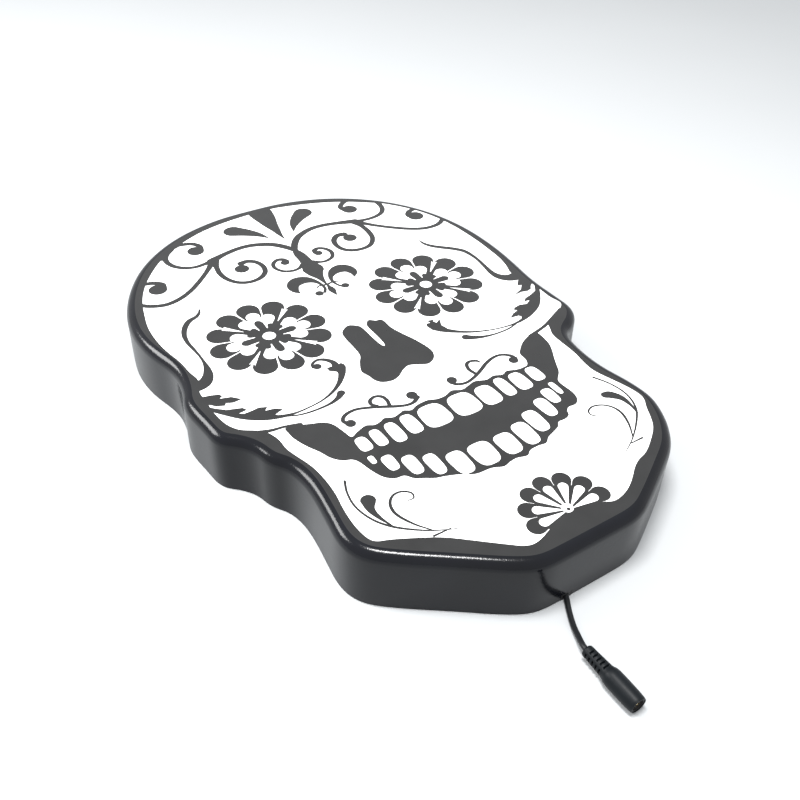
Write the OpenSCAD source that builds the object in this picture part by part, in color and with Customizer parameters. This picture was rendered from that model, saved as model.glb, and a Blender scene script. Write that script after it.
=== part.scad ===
// Skull-shaped LED light box: a thermoformed opal shell, printed black on its
// sides and in an ornament on its face, closed by a screwed back panel that
// carries the light modules, with a short lead and an inline barrel socket.
// It lies on its back: +Z out of the face, +Y towards the crown, millimetres.
// The origin is under the middle of the shell, on the surface it rests on.

/* [Shell] */
// Length of the face, crown to chin
body_l = 403; // [320:1:480]
// Width of the face across the cranium
body_w = 272; // [220:1:330]
// Depth of the shell, back rim to face
body_h = 38; // [30:0.5:50]
// Wall of the formed sheet
wall_t = 2.5; // [1.8:0.1:3.5]
// How much each side spreads from the face to the back rim
draft = 0.5; // [0.2:0.1:3]
// Radius of the front edge
edge_r = 6; // [4:0.5:7]

/* [Print] */
// Thickness of the black coat and of the printed ornament
ink_t = 0.12; // [0.1:0.01:0.3]
// Height of the coat's lower edge above the back rim
coat_gap = 0.6; // [0.3:0.1:2]
// Radius of a flower eye
eye_r = 39; // [34:0.5:42]
// Distance of each eye from the middle
eye_x = 60.5; // [54:0.5:64]

/* [Back panel] */
// Thickness of the back panel
panel_t = 3; // [2:0.5:4]
// How far the panel sits in from the back rim
recess = 5; // [4.5:0.5:7]
// Gap between the panel and the shell
panel_gap = 0.5; // [0.3:0.1:1]
// Thickness of the white reflector sheet
reflector_t = 1; // [0.5:0.1:1.5]
// How far the reflector stays inside the panel's edge
reflector_inset = 14; // [13:0.5:18]
// Width of a fixing block along the wall
block_w = 14; // [12:0.5:18]
// Depth of a fixing block, in from the wall
block_d = 11; // [10:0.5:12.5]
// Height of a fixing block above the panel
block_h = 15; // [12:0.5:18]
// Glue line between a block and the wall
glue_gap = 0.6; // [0.4:0.1:1]

/* [Screws] */
// Shank diameter of the panel screws
screw_d = 3.5; // [3:0.1:4]
// Length of the panel screws under the head
screw_l = 14; // [10:0.5:16]
// Shank diameter of the small screws
small_d = 2.5; // [2:0.1:3]
// Radial clearance round every screw
screw_gap = 0.1; // [0.05:0.05:0.3]

/* [Hangers] */
// Distance between the two keyholes
hanger_pitch = 140; // [100:1:150]
// Height of the keyholes above the middle
hanger_y = 110; // [80:1:120]
// Diameter of the keyhole's entry
key_d = 9; // [8:0.5:10]
// Width of the keyhole's neck
neck_d = 4.4; // [4:0.1:5]
// Thickness of a hanger plate
hanger_t = 1.5; // [1:0.1:2]

/* [Light modules] */
// Length of a module
module_l = 50; // [44:1:54]
// Width of a module
module_w = 14; // [12:0.5:16]
// Height of a module's housing
module_h = 5; // [4.5:0.5:7]
// Distance from module to module down a column
module_pitch = 64; // [60:1:66]
// Distance from column to column
column_pitch = 62; // [50:1:66]
// Diameter of a lens
lens_d = 9; // [8:0.5:10]
// Thickness of the adhesive pad
pad_t = 1; // [0.5:0.1:1.5]
// Diameter of a wire
wire_d = 1.6; // [1.2:0.1:2]

/* [Lead and socket] */
// Diameter of the lead
lead_d = 3; // [2.8:0.1:3.4]
// Radial clearance of the lead in the bush and the clip
lead_gap = 0.15; // [0.1:0.05:0.3]
// Diameter of the socket's body
socket_d = 10.2; // [9.6:0.1:10.4]
// Length of the socket's body
socket_l = 20.5; // [18:0.5:24]
// Length of the ribbed strain relief
relief_l = 14.5; // [12:0.5:18]
// Diameter of the plug that fits the socket
barrel_d = 5.5; // [5:0.1:5.5]
// Diameter of the centre pin
pin_d = 2.1; // [1.7:0.1:2.5]
// Depth of the socket's mouth
mouth_depth = 9.5; // [8:0.5:11]

/* [Hidden] */
$fn = 48;

// ---- The skull's outline ----
// Control points of each side, crown to chin, for a face 272 wide and 403 long.
// Each pair's middle lies on the curve, and the curve runs smoothly between them.
LEFT_SIDE = [[31, 200.9], [69, 189], [102, 164], [123.5, 131.5], [135, 98], [135.5, 67],
    [126.5, 37], [129, 16], [135, 1], [132.5, -20], [131, -37], [121.5, -45], [115.5, -54],
    [113, -66], [105.5, -76], [103, -92], [105.5, -115], [108.5, -135], [104.5, -149],
    [92.5, -160], [66, -179], [46, -194], [32.5, -201.3], [14, -201.5]];
RIGHT_SIDE = [[31, 200.9], [69, 189], [102, 164], [124, 131.5], [135, 95], [137, 60],
    [134.5, 30], [130.5, 4], [131, -20], [131.5, -39], [121.5, -51], [107, -58.5], [103, -75],
    [102.5, -97], [107, -116], [108.5, -134], [104, -147], [97, -159.5], [86, -172],
    [70, -181.5], [49, -193.5], [33.5, -201.3], [14, -201.5]];
SMOOTH = 3;
SX = body_w / 272;
SY = body_l / 403;

// One closed ring: crown, left side down, chin, right side up
function ring(left, right) = concat([[0, 201.7]], [for (p = left) [-p.x, p.y]], [[0, -201.5]],
    [for (i = [len(right) - 1:-1:0]) right[i]]);

// Both halves of a half outline, anticlockwise from the crown
function both(half) = concat(
    [for (p = half) [-p.x * SX, p.y * SY]],
    [for (i = [len(half) - 2:-1:1]) [half[i].x * SX, half[i].y * SY]]);

// Closed smooth curve: parabolas from middle to middle of the control points
function smooth(c, steps = SMOOTH) = [for (i = [0:len(c) - 1], j = [0:steps - 1])
    let (a = c[i], b = c[(i + 1) % len(c)], d = c[(i + 2) % len(c)], t = j / steps)
    (a + b) / 2 * (1 - t) * (1 - t) + 2 * b * t * (1 - t) + (b + d) / 2 * t * t];

OUTLINE = smooth([for (p = ring(LEFT_SIDE, RIGHT_SIDE)) [p.x * SX, p.y * SY]]);
COUNT = len(OUTLINE);

// Outward unit normal of a closed curve at point i
function normal(curve, i) = let (
    n = len(curve),
    t = curve[(i + 1) % n] - curve[(i + n - 1) % n]) [t.y, -t.x] / norm(t);

// The outline moved outwards by d
function grown(d) = [for (i = [0:COUNT - 1]) OUTLINE[i] + normal(OUTLINE, i) * d];

// How far the outside of the shell stands out from the face outline at height z
function spread(z) = draft * (1 - z / (body_h - edge_r));

// Rings [offset, height] of the shell's outside, moved out by skin
function outer_rings(skin, bottom) = concat(
    [[spread(bottom) + skin, bottom]],
    [for (a = [0:22.5:90])
        [(edge_r + skin) * cos(a) - edge_r, body_h - edge_r + (edge_r + skin) * sin(a)]]);

// The shell's inside has the same centre of rounding, a wall further in
function inner_rings() = concat(
    [[spread(-1) - wall_t, -1]],
    [for (a = [0:30:90])
        [(edge_r - wall_t) * cos(a) - edge_r, body_h - edge_r + (edge_r - wall_t) * sin(a)]]);

// A closed solid through rings of the outline
module loft(rings) {
    points = [for (r = rings) for (p = grown(r[0])) [p.x, p.y, r[1]]];
    last = (len(rings) - 1) * COUNT;
    sides = [for (k = [0:len(rings) - 2], i = [0:COUNT - 1]) let (
        a = k * COUNT + i,
        b = k * COUNT + (i + 1) % COUNT) each [[a, a + COUNT, b], [b, a + COUNT, b + COUNT]]];
    polyhedron(points,
        concat(sides, [[for (i = [0:COUNT - 1]) i]], [[for (i = [COUNT - 1:-1:0]) last + i]]));
}

// Half of the white window that the black border leaves on the face
WINDOW = [[0, 194], [30, 192.5], [66, 180], [97, 157], [118, 125], [127, 92], [127, 62],
    [119, 34], [120.5, 8], [121, -14], [118.5, -31], [104, -42], [97, -52], [97.5, -68],
    [93, -90], [93.5, -108], [98.5, -124], [98.5, -142], [94, -148], [74, -157], [60, -164],
    [44, -182], [30, -189.5], [20, -186], [0, -182]];

// ---- Heights ----
panel_z = recess;
reflector_z = panel_z + panel_t;
deck_z = reflector_z + reflector_t;
housing_z = deck_z + pad_t;
clip_h = lead_d + 2.6;
clip_bite = 2;
board_t = 1;
chip_t = 0.8;
lens_z = housing_z + module_h;
lens_h = lens_d / 3;

// ---- Lead and socket places ----
// The lead's route outside the shell: along the surface it rests on, then up to the socket
LEAD = [[-9.7, -196.1, 1.9], [-11.7, -199.6, 1.9], [-14.7, -204.8, 1.85], [-18.3, -210.7, 1.7],
    [-22.2, -218.2, 2], [-25.3, -225.2, 3.4], [-27.5, -230.3, 4.8], [-28, -233, 5.15]];
// The lead's route inside: under the panel, up through it and along the deck
INNER = [[-9.7, -196.1, 1.9], [-8, -193.2, 2.1], [-6.4, -188.4, 4.2], [-5.4, -185, 8],
    [-4.6, -181.5, 10.4], [-4, -177, 10.7], [-4, -168, 10.7]];
chin_y = -201.5 * SY;
chin_shift = chin_y + 201.5;
lead_r = lead_d / 2;
bush_turn = -30;
bush_r = 3;
bush_h = 4.4;
splice_l = 12;
splice_d = 3.2;
core_x = 2.2;
bush_in = 7;
socket_r = socket_d / 2;
socket_at = [-28, -233 + chin_shift, 5.15];
socket_total = relief_l + socket_l;
insert_r = socket_r - 1.1;
mouth_r = barrel_d / 2 + 0.25;
contact_t = 0.3;
pin_l = mouth_depth - 2;

// A lead's points moved with the chin
function at_chin(route) = [for (p = route) [p.x, p.y + chin_shift, p.z]];

// A route of more points on the same smooth curve (Catmull-Rom)
function curve(r, steps) = concat([for (i = [0:len(r) - 2], j = [0:steps - 1]) let (
    a = r[max(i - 1, 0)], b = r[i], c = r[i + 1], d = r[min(i + 2, len(r) - 1)], t = j / steps)
    0.5 * (2 * b + (c - a) * t + (2 * a - 5 * b + 4 * c - d) * t * t
        + (3 * b - a - 3 * c + d) * t * t * t)], [r[len(r) - 1]]);

// A tube swept along a route, with flat ends
module tube(route, r, sides = 8) {
    n = len(route);
    points = [for (i = [0:n - 1]) let (
        t = route[min(i + 1, n - 1)] - route[max(i - 1, 0)],
        u = cross(t, [0, 0, 1]) / norm(cross(t, [0, 0, 1])),
        v = cross(u, t) / norm(t))
        for (k = [0:sides - 1]) route[i] + r * (u * cos((k + 0.5) * 360 / sides)
            + v * sin((k + 0.5) * 360 / sides))];
    skin = [for (i = [0:n - 2], k = [0:sides - 1]) let (
        a = i * sides + k,
        b = i * sides + (k + 1) % sides) each [[a, a + sides, b], [b, a + sides, b + sides]]];
    polyhedron(points, concat(skin, [[for (k = [0:sides - 1]) k]],
        [[for (k = [sides - 1:-1:0]) (n - 1) * sides + k]]));
}

// A round rod between two points
module rod(a, b, r) {
    d = b - a;
    translate(a) rotate([0, acos(d.z / norm(d)), atan2(d.y, d.x)]) cylinder(h = norm(d), r = r);
}

// ---- Face artwork, as flat shapes ----
// Places a flat shape on the face, keeps it within the white window and gives it its thickness
module on_face() translate([0, 0, body_h]) linear_extrude(ink_t) intersection() {
    union() children();
    polygon(smooth(both(WINDOW)));
}

// A drop with its round end at r from the origin along +X
module drop(length, r) {
    a = acos(r / length);
    polygon(concat([[0, 0]], [for (i = [-180 + a:(360 - 2 * a) / 12:180 - a + 0.01])
        [length + r * cos(i), r * sin(i)]]));
}

// A tapering scroll: from a at angle a0 round to a1, its radius shrinking, with a round end
module scroll(r0, r1, a0, a1, w) {
    steps = 20;
    outer = [for (i = [0:steps]) let (f = i / steps, a = a0 + (a1 - a0) * f,
        r = r0 + (r1 - r0) * f) (r + w / 2) * [cos(a), sin(a)]];
    inner = [for (i = [steps:-1:0]) let (f = i / steps, a = a0 + (a1 - a0) * f,
        r = r0 + (r1 - r0) * f) (r - w / 2) * [cos(a), sin(a)]];
    polygon(concat(outer, inner));
    translate(r1 * [cos(a1), sin(a1)]) circle(r = w * 1.1, $fn = 24);
}

// One flower eye: twelve drops round a star, with an open centre
module flower() difference() {
    for (k = [0:11]) rotate(k * 30) drop(eye_r * 0.81, eye_r * 0.19);
    circle(r = eye_r * 0.1);
    for (k = [0:11]) rotate(k * 30) translate([eye_r * 0.46, 0]) circle(r = eye_r * 0.085, $fn = 20);
}

// A row of teeth cut from the mouth: each tooth is a rounded plate
module tooth(x0, x1, y0, y1) {
    r = min(x1 - x0, y1 - y0) * 0.38;
    for (x = [x0 + r, x1 - r], y = [y0 + r, y1 - r]) translate([x, y]) circle(r = r, $fn = 16);
    translate([x0 + r, y0]) square([x1 - x0 - 2 * r, y1 - y0]);
    translate([x0, y0 + r]) square([x1 - x0, y1 - y0 - 2 * r]);
}

// ---- Sub-parts ----
// Formed opal sheet: the face and the four sides in one piece, open at the back
module opal_shell() color("white") difference() {
    loft(outer_rings(0, 0));
    loft(inner_rings());
    bush_place() translate([-bush_r - 0.1, -12, -1]) cube([2 * bush_r + 0.2, 24, bush_h + 1.1]);
}

// Black coat on the sides and round the front edge, up to the white window
module black_coat() color([0.05, 0.05, 0.06]) difference() {
    loft(outer_rings(ink_t, coat_gap));
    loft(outer_rings(0, coat_gap - 1));
    translate([0, 0, body_h - edge_r]) linear_extrude(edge_r + 1) polygon(smooth(both(WINDOW)));
    bush_place() translate([-bush_r - 0.1, -12, -1]) cube([2 * bush_r + 0.2, 24, bush_h + 1.1]);
}

// Flower eyes
module eye_print() color([0.2, 0.2, 0.21]) on_face()
    for (s = [-1, 1]) translate([s * eye_x * SX, 36 * SY]) flower();

// Mirrors a left-hand shape to the right
module pair() for (s = [0, 1]) mirror([s, 0]) children();

// Flame, drops and scrolls of the forehead
module brow_print() color([0.2, 0.2, 0.21]) on_face() translate([4 * SX, 0]) {
    translate([0, 144 * SY]) rotate(90) drop(40, 9);
    pair() {
        translate([-9, 150 * SY]) rotate(130) drop(32, 8);
        translate([-36 * SX, 119 * SY]) scroll(25, 9, 25, 480, 4);
        translate([-68 * SX, 156 * SY]) scroll(19, 8, 290, 90, 4);
        translate([-100 * SX, 122 * SY]) scroll(21, 7, 260, 30, 4);
    }
    translate([0, 72 * SY]) polygon([[-5, -14], [0, -16], [5, -14], [9, 8], [5, 30], [0, 38], [-5, 30],
        [-9, 8]]);
}

// Cheek leaves under the eyes
module cheek_print() color([0.2, 0.2, 0.21]) on_face() pair()
    translate([-66 * SX, 30 * SY]) scroll(60, 46, 202, 300, 4.5);

// Nose opening: two lobes joined below a narrow bridge
module nose_print() color([0.2, 0.2, 0.21]) on_face() translate([-5 * SX, -2 * SY]) union()
    for (s = [0, 1]) mirror([s, 0])
        polygon(smooth([[-1, -38], [-1, -12], [3, 18], [9, 24], [18, 16], [19, -8], [26, -26], [24, -40],
            [12, -42]]));

// Mouth: the dark band that holds two rows of teeth, with the cheek lobes
module mouth_print() color([0.2, 0.2, 0.21]) on_face() translate([-2 * SX, -62 * SY]) difference() {
    polygon(smooth([[-94, 14], [-72, 6], [-67, -10], [0, -9], [63, -10], [70, 4], [90, 14], [90, -6],
        [78, -28], [66, -40], [64, -54], [40, -68], [0, -75], [-40, -70], [-66, -56], [-74, -30],
        [-90, -6]]));
    for (i = [-3:3]) tooth(i * 17.5 - 6.5, i * 17.5 + 6.5, -32 + 0.3 * i * i, -13 - 0.3 * i * i);
    for (i = [-3:3]) tooth(i * 16.5 - 6, i * 16.5 + 6, -70 + 2.4 * i * i, -54 + 2.2 * i * i);
}

// Half flower on the chin
module chin_print() color([0.2, 0.2, 0.21]) on_face() translate([1.5 * SX, -179 * SY])
    for (a = [0:30:180]) rotate(a) translate([18, 0]) circle(r = 4.6, $fn = 24);

// Back panel, screwed to the blocks, with the keyholes' pockets and the lead's hole
module back_panel() color([0.12, 0.12, 0.12]) difference() {
    translate([0, 0, panel_z]) linear_extrude(panel_t)
        polygon(grown(spread(panel_z + panel_t) - wall_t - panel_gap));
    at_blocks() translate([0, 0, panel_z - 1]) cylinder(h = panel_t + 2, d = screw_d + 2 * screw_gap);
    at_hangers() {
        translate([0, -5, panel_z - 1]) cylinder(h = panel_t + 2, d = key_d + 3);
        translate([-(neck_d + 4) / 2, -5, panel_z - 1]) cube([neck_d + 4, 14, panel_t + 2]);
        for (y = [-17, 17]) translate([0, y, panel_z - 1]) cylinder(h = panel_t + 2, d = small_d + 2 * screw_gap);
    }
    lead_slot(panel_z - 1, panel_t + 2);
    at_clip_screws() translate([0, 0, reflector_z - clip_bite - 0.3])
        cylinder(h = clip_bite + 1, d = small_d + 2 * screw_gap);
}

// White sheet that lines the panel and spreads the light
module reflector_sheet() color("white") translate([0, 0, reflector_z]) difference() {
    linear_extrude(reflector_t) offset(r = -reflector_inset) polygon(grown(-wall_t - panel_gap));
    translate([0, 0, -reflector_z]) lead_slot(reflector_z - 1, reflector_t + 2);
    at_clip_screws() translate([0, 0, -1]) cylinder(h = reflector_t + 2, d = small_d + 2 * screw_gap);
}

// Long hole that the lead rises through
module lead_slot(z, h) translate([-5.5, -186 + chin_shift, z]) {
    for (y = [-3, 3]) translate([0, y, 0]) cylinder(h = h, d = 8);
    translate([-4, -3, 0]) cube([8, 6, h]);
}

// Stations of the fixing blocks, as shares of the way round the outline from the crown
STATIONS = [0.066, 0.204, 0.329, 0.42, 0.608, 0.714, 0.859, 0.933];
module at_blocks() for (u = STATIONS) let (
    i = round(u * COUNT),
    n = normal(OUTLINE, i),
    p = OUTLINE[i] - n * (wall_t + glue_gap - spread(panel_z + block_h) + block_d / 2))
    translate([p.x, p.y, 0]) rotate(atan2(n.y, n.x)) children();

// Blocks glued inside the sides, which the panel rests on and is screwed to
module fixing_blocks() color("burlywood") at_blocks() difference() {
    translate([-block_d / 2, -block_w / 2, reflector_z]) cube([block_d, block_w, block_h]);
    translate([0, 0, reflector_z - 1]) cylinder(h = screw_l - panel_t + 2, d = screw_d + 2 * screw_gap);
}

// A pan head screw, its head down and its shank up, with its head's top at z = 0
module pan_screw(d, l) {
    rotate_extrude() polygon(concat([[0, 0]],
        [for (a = [0:15:90]) [d * sin(a), -d * 0.55 * cos(a)]], [[d / 2, 0], [d / 2, l - d / 2], [0, l]]));
}

// Screws through the panel into the blocks
module panel_screws() color("silver") at_blocks() translate([0, 0, panel_z]) pan_screw(screw_d, screw_l);

// The two hanger places
module at_hangers() for (s = [-1, 1]) translate([s * hanger_pitch / 2, hanger_y, 0]) children();

// Steel keyhole plates on the back of the panel
module hanger_plates() color("silver") at_hangers() translate([0, 0, panel_z - hanger_t]) difference() {
    union() {
        translate([-9, -15, 0]) cube([18, 30, hanger_t]);
        for (y = [-15, 15]) translate([0, y, 0]) cylinder(h = hanger_t, d = 18);
    }
    translate([0, -5, -1]) cylinder(h = hanger_t + 2, d = key_d);
    translate([-neck_d / 2, -5, -1]) cube([neck_d, 12, hanger_t + 2]);
    translate([0, 7, -1]) cylinder(h = hanger_t + 2, d = neck_d);
    for (y = [-17, 17]) translate([0, y, -1]) cylinder(h = hanger_t + 2, d = small_d + 2 * screw_gap);
}

// Small screws that hold the hanger plates
module hanger_screws() color("silver") at_hangers() for (y = [-17, 17])
    translate([0, y, panel_z - hanger_t]) pan_screw(small_d, hanger_t + panel_t - 0.3);

// ---- Light modules ----
// Middle of each module: three columns of five
function column_y(c) = c == 0 ? 6 : -2;
module at_modules() for (c = [-1:1], k = [-2:2])
    translate([c * column_pitch, k * module_pitch + column_y(c), 0]) children();

// Adhesive pads under the modules
module module_pads() color([0.85, 0.85, 0.8]) at_modules() translate([-module_w / 2 + 1, -module_l / 2 + 2, deck_z])
    cube([module_w - 2, module_l - 4, pad_t]);

// Moulded trays of the modules
module module_housings() color("white") at_modules() translate([0, 0, housing_z]) difference() {
    translate([-module_w / 2, -module_l / 2, 0]) cube([module_w, module_l, module_h]);
    translate([-module_w / 2 + 1.2, -module_l / 2 + 1.2, module_h - board_t - chip_t])
        cube([module_w - 2.4, module_l - 2.4, board_t + chip_t + 1]);
}

// Circuit boards set in the trays
module module_boards() color("green") at_modules()
    translate([-module_w / 2 + 1.4, -module_l / 2 + 1.4, lens_z - board_t - chip_t])
        cube([module_w - 2.8, module_l - 2.8, board_t]);

// Three light chips on each board
module at_lenses() at_modules() for (y = [-1:1]) translate([0, y * module_l * 0.31, 0]) children();
module module_chips() color("gold") at_lenses() translate([-1.4, -1.75, lens_z - chip_t]) cube([2.8, 3.5, chip_t]);

// Domed lenses over the chips
module module_lenses() color([0.9, 0.95, 1, 0.6]) at_lenses() translate([0, 0, lens_z + 0.02])
    rotate_extrude() polygon([[0, 0], [lens_d / 2, 0], [lens_d * 0.38, lens_h * 0.7], [0, lens_h]]);

// A wire through a few points, with round corners
module wire(points) {
    for (i = [0:len(points) - 2]) rod(points[i], points[i + 1], wire_d / 2);
    for (i = [1:len(points) - 2]) translate(points[i]) sphere(d = wire_d);
}

// Wires from module to module, from the splices to the middle column and on to the other two
module module_wires() color("red") {
    z = housing_z + module_h / 2;
    low = -2 * module_pitch - module_l / 2;
    for (c = [-1:1], k = [-2:1], x = [-2, 2]) let (y = k * module_pitch + column_y(c) + module_l / 2)
        wire([[c * column_pitch + x, y, z], [c * column_pitch + x, y + module_pitch - module_l, z]]);
    for (x = [-core_x, core_x])
        wire([[-4 + x, -167.8 + chin_shift + splice_l, 10.7], [x, low + column_y(0), z]]);
    for (s = [-1, 1])
        wire([[s * 5, low + column_y(0), z], [s * 5, low + column_y(1) - 7, z],
            [s * column_pitch, low + column_y(1) - 7, z], [s * column_pitch, low + column_y(1), z]]);
}

// ---- Lead ----
// Turned frame at the notch where the lead leaves through the rim
module bush_place() translate([-13.2, -202.2 + chin_shift, 0]) rotate(bush_turn) children();

// Rubber bush in the rim's notch, as wide as the notch, flush with the wall's outside
module cable_bush() color([0.07, 0.07, 0.07]) difference() {
    bush_place() translate([-bush_r, -4, 0.05]) cube([2 * bush_r, 4 + bush_in, bush_h]);
    bush_place() translate([0, -12, 1.9]) rotate([-90, 0, 0]) cylinder(h = 24, r = lead_r + lead_gap);
    translate([-40, chin_y - draft - 20, -1]) cube([60, 20, 10]);
}

// The lead outside the shell, from the bush to the socket
module lead_cord() color([0.07, 0.07, 0.07]) tube(curve(at_chin(LEAD), 2), lead_r);

// The lead inside the shell, from the bush to the splices
module lead_inner() color([0.07, 0.07, 0.07]) tube(curve(at_chin(INNER), 2), lead_r);

// Heat-shrunk splices between the lead and the first module
module lead_splices() color("black") for (x = [-core_x, core_x])
    translate([-4 + x, -167.8 + chin_shift, 10.7]) rotate([-90, 0, 0]) cylinder(h = splice_l, d = splice_d);

// Saddle clip that holds the lead to the deck
module cable_clip() color("white") difference() {
    translate([-14, -176 + chin_shift, deck_z]) cube([20, 6, clip_h]);
    translate([-4, -177 + chin_shift, 10.7]) rotate([-90, 0, 0]) cylinder(h = 8, d = lead_d + 2 * lead_gap);
    translate([-4 - lead_r - lead_gap, -177 + chin_shift, deck_z - 1]) cube([lead_d + 2 * lead_gap, 8, 10.7 - deck_z + 1]);
    at_clip_screws() translate([0, 0, deck_z - 1]) cylinder(h = 9, d = small_d + 2 * screw_gap);
}
module at_clip_screws() for (x = [-11, 3]) translate([x, -173 + chin_shift, 0]) children();

// Screws of the saddle clip
module clip_screws() color("silver") at_clip_screws() translate([0, 0, deck_z + clip_h]) mirror([0, 0, 1])
    pan_screw(small_d, clip_h + reflector_t + clip_bite);

// ---- Inline socket, along -Y from the end of the lead ----
module at_socket() translate(socket_at) rotate([90, 0, 0]) children();

// Overmoulded body: a ribbed strain relief that steps up to a plain barrel
module socket_overmould() color([0.09, 0.09, 0.1]) at_socket() difference() {
    rotate_extrude() polygon([[0, 0], [2.7, 0], [3.2, 0.6], [3.9, relief_l - 1],
        [socket_r - 0.3, relief_l + 1.2], [socket_r, relief_l + 4], [socket_r, socket_total - 1],
        [socket_r - 0.5, socket_total], [0, socket_total]]);
    for (k = [0:3]) translate([0, 0, 2.4 + k * 2.6]) difference() {
        cylinder(h = 1, r = 6);
        translate([0, 0, -1]) cylinder(h = 3, r = 2.7);
    }
    translate([0, 0, socket_total - mouth_depth - 2]) cylinder(h = mouth_depth + 3, r = insert_r);
}

// Insulator pressed into the overmould
module socket_insert() color([0.15, 0.15, 0.15]) at_socket() difference() {
    translate([0, 0, socket_total - mouth_depth - 2]) cylinder(h = mouth_depth + 1.6, r = insert_r - 0.02);
    translate([0, 0, socket_total - mouth_depth]) cylinder(h = mouth_depth + 1, r = mouth_r + contact_t);
    translate([0, 0, socket_total - mouth_depth - 3]) cylinder(h = 5, d = pin_d + 0.64);
}

// Sprung sleeve that touches the plug's barrel
module socket_contact() color("silver") at_socket() translate([0, 0, socket_total - mouth_depth + 0.1]) difference() {
    cylinder(h = mouth_depth - 1.5, r = mouth_r + contact_t - 0.02);
    translate([0, 0, -1]) cylinder(h = mouth_depth + 2, r = mouth_r);
    translate([0, -0.6, -1]) cube([10, 1.2, mouth_depth + 2]);
}

// Centre pin: a foot held in the insulator's floor, and the pin with its round tip
module socket_pin() color("gold") at_socket() translate([0, 0, socket_total - mouth_depth]) {
    translate([0, 0, -1.8]) cylinder(h = 1.8, d = pin_d + 0.6);
    cylinder(h = pin_l, d = pin_d);
    translate([0, 0, pin_l]) sphere(d = pin_d);
}

opal_shell();
black_coat();
eye_print();
brow_print();
cheek_print();
nose_print();
mouth_print();
chin_print();
back_panel();
reflector_sheet();
fixing_blocks();
panel_screws();
hanger_plates();
hanger_screws();
module_pads();
module_housings();
module_boards();
module_chips();
module_lenses();
module_wires();
lead_splices();
cable_clip();
clip_screws();
cable_bush();
lead_inner();
lead_cord();
socket_overmould();
socket_insert();
socket_contact();
socket_pin();
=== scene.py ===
"""Looks of a skull-shaped LED light box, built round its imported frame.

The box is a thermoformed opal shell with a gloss black coat on its sides and border, a printed
ornament on its face, a screwed back panel, and a short lead that ends in an inline barrel socket.
Every piece is in metres in the frame's own axes: +Z out of the face, +Y towards the crown.
"""

import logging
import math
from dataclasses import dataclass, field
from enum import Enum

import bmesh
import bpy
import numpy as np
from mathutils import Matrix, Vector
from mathutils.geometry import delaunay_2d_cdt


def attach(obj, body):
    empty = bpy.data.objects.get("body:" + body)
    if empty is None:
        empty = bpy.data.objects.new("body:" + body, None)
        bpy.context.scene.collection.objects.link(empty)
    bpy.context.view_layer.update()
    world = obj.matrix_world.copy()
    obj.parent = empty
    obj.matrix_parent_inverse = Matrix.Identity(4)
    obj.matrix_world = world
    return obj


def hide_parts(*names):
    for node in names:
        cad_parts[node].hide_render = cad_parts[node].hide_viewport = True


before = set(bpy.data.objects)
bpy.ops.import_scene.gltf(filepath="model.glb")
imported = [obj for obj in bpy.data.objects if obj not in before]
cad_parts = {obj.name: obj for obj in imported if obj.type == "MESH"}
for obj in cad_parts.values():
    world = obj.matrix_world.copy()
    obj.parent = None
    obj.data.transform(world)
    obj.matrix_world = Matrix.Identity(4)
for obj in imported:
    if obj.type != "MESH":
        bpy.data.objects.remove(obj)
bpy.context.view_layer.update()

LOG = logging.getLogger("light_box")
MM = 0.001
BODY = "root"
GLOW_DEPTH = 0.002
EDGE_FADE = {"From Min": 0.58, "From Max": 0.92, "To Min": 0.5, "To Max": 0.03}
WELD = 0.002
SPECK = 0.0005
FLOOR_REACH = 6.0
FLOOR_DROP = 0.0001


class Slot(Enum):
    """The record's material slots, one named for each new piece."""

    OPAL = "opal"
    COAT = "coat"
    INK = "ink"
    LEAD = "lead_jacket"
    SOCKET = "socket_plastic"
    SCREW = "screw_steel"


class Pattern(Enum):
    """What a finish's tone follows."""

    CLOUD = "cloud"
    SPANGLE = "spangle"
    GRAIN = "grain"
    RINGS = "rings"


# ---- Finishes ----


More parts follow.
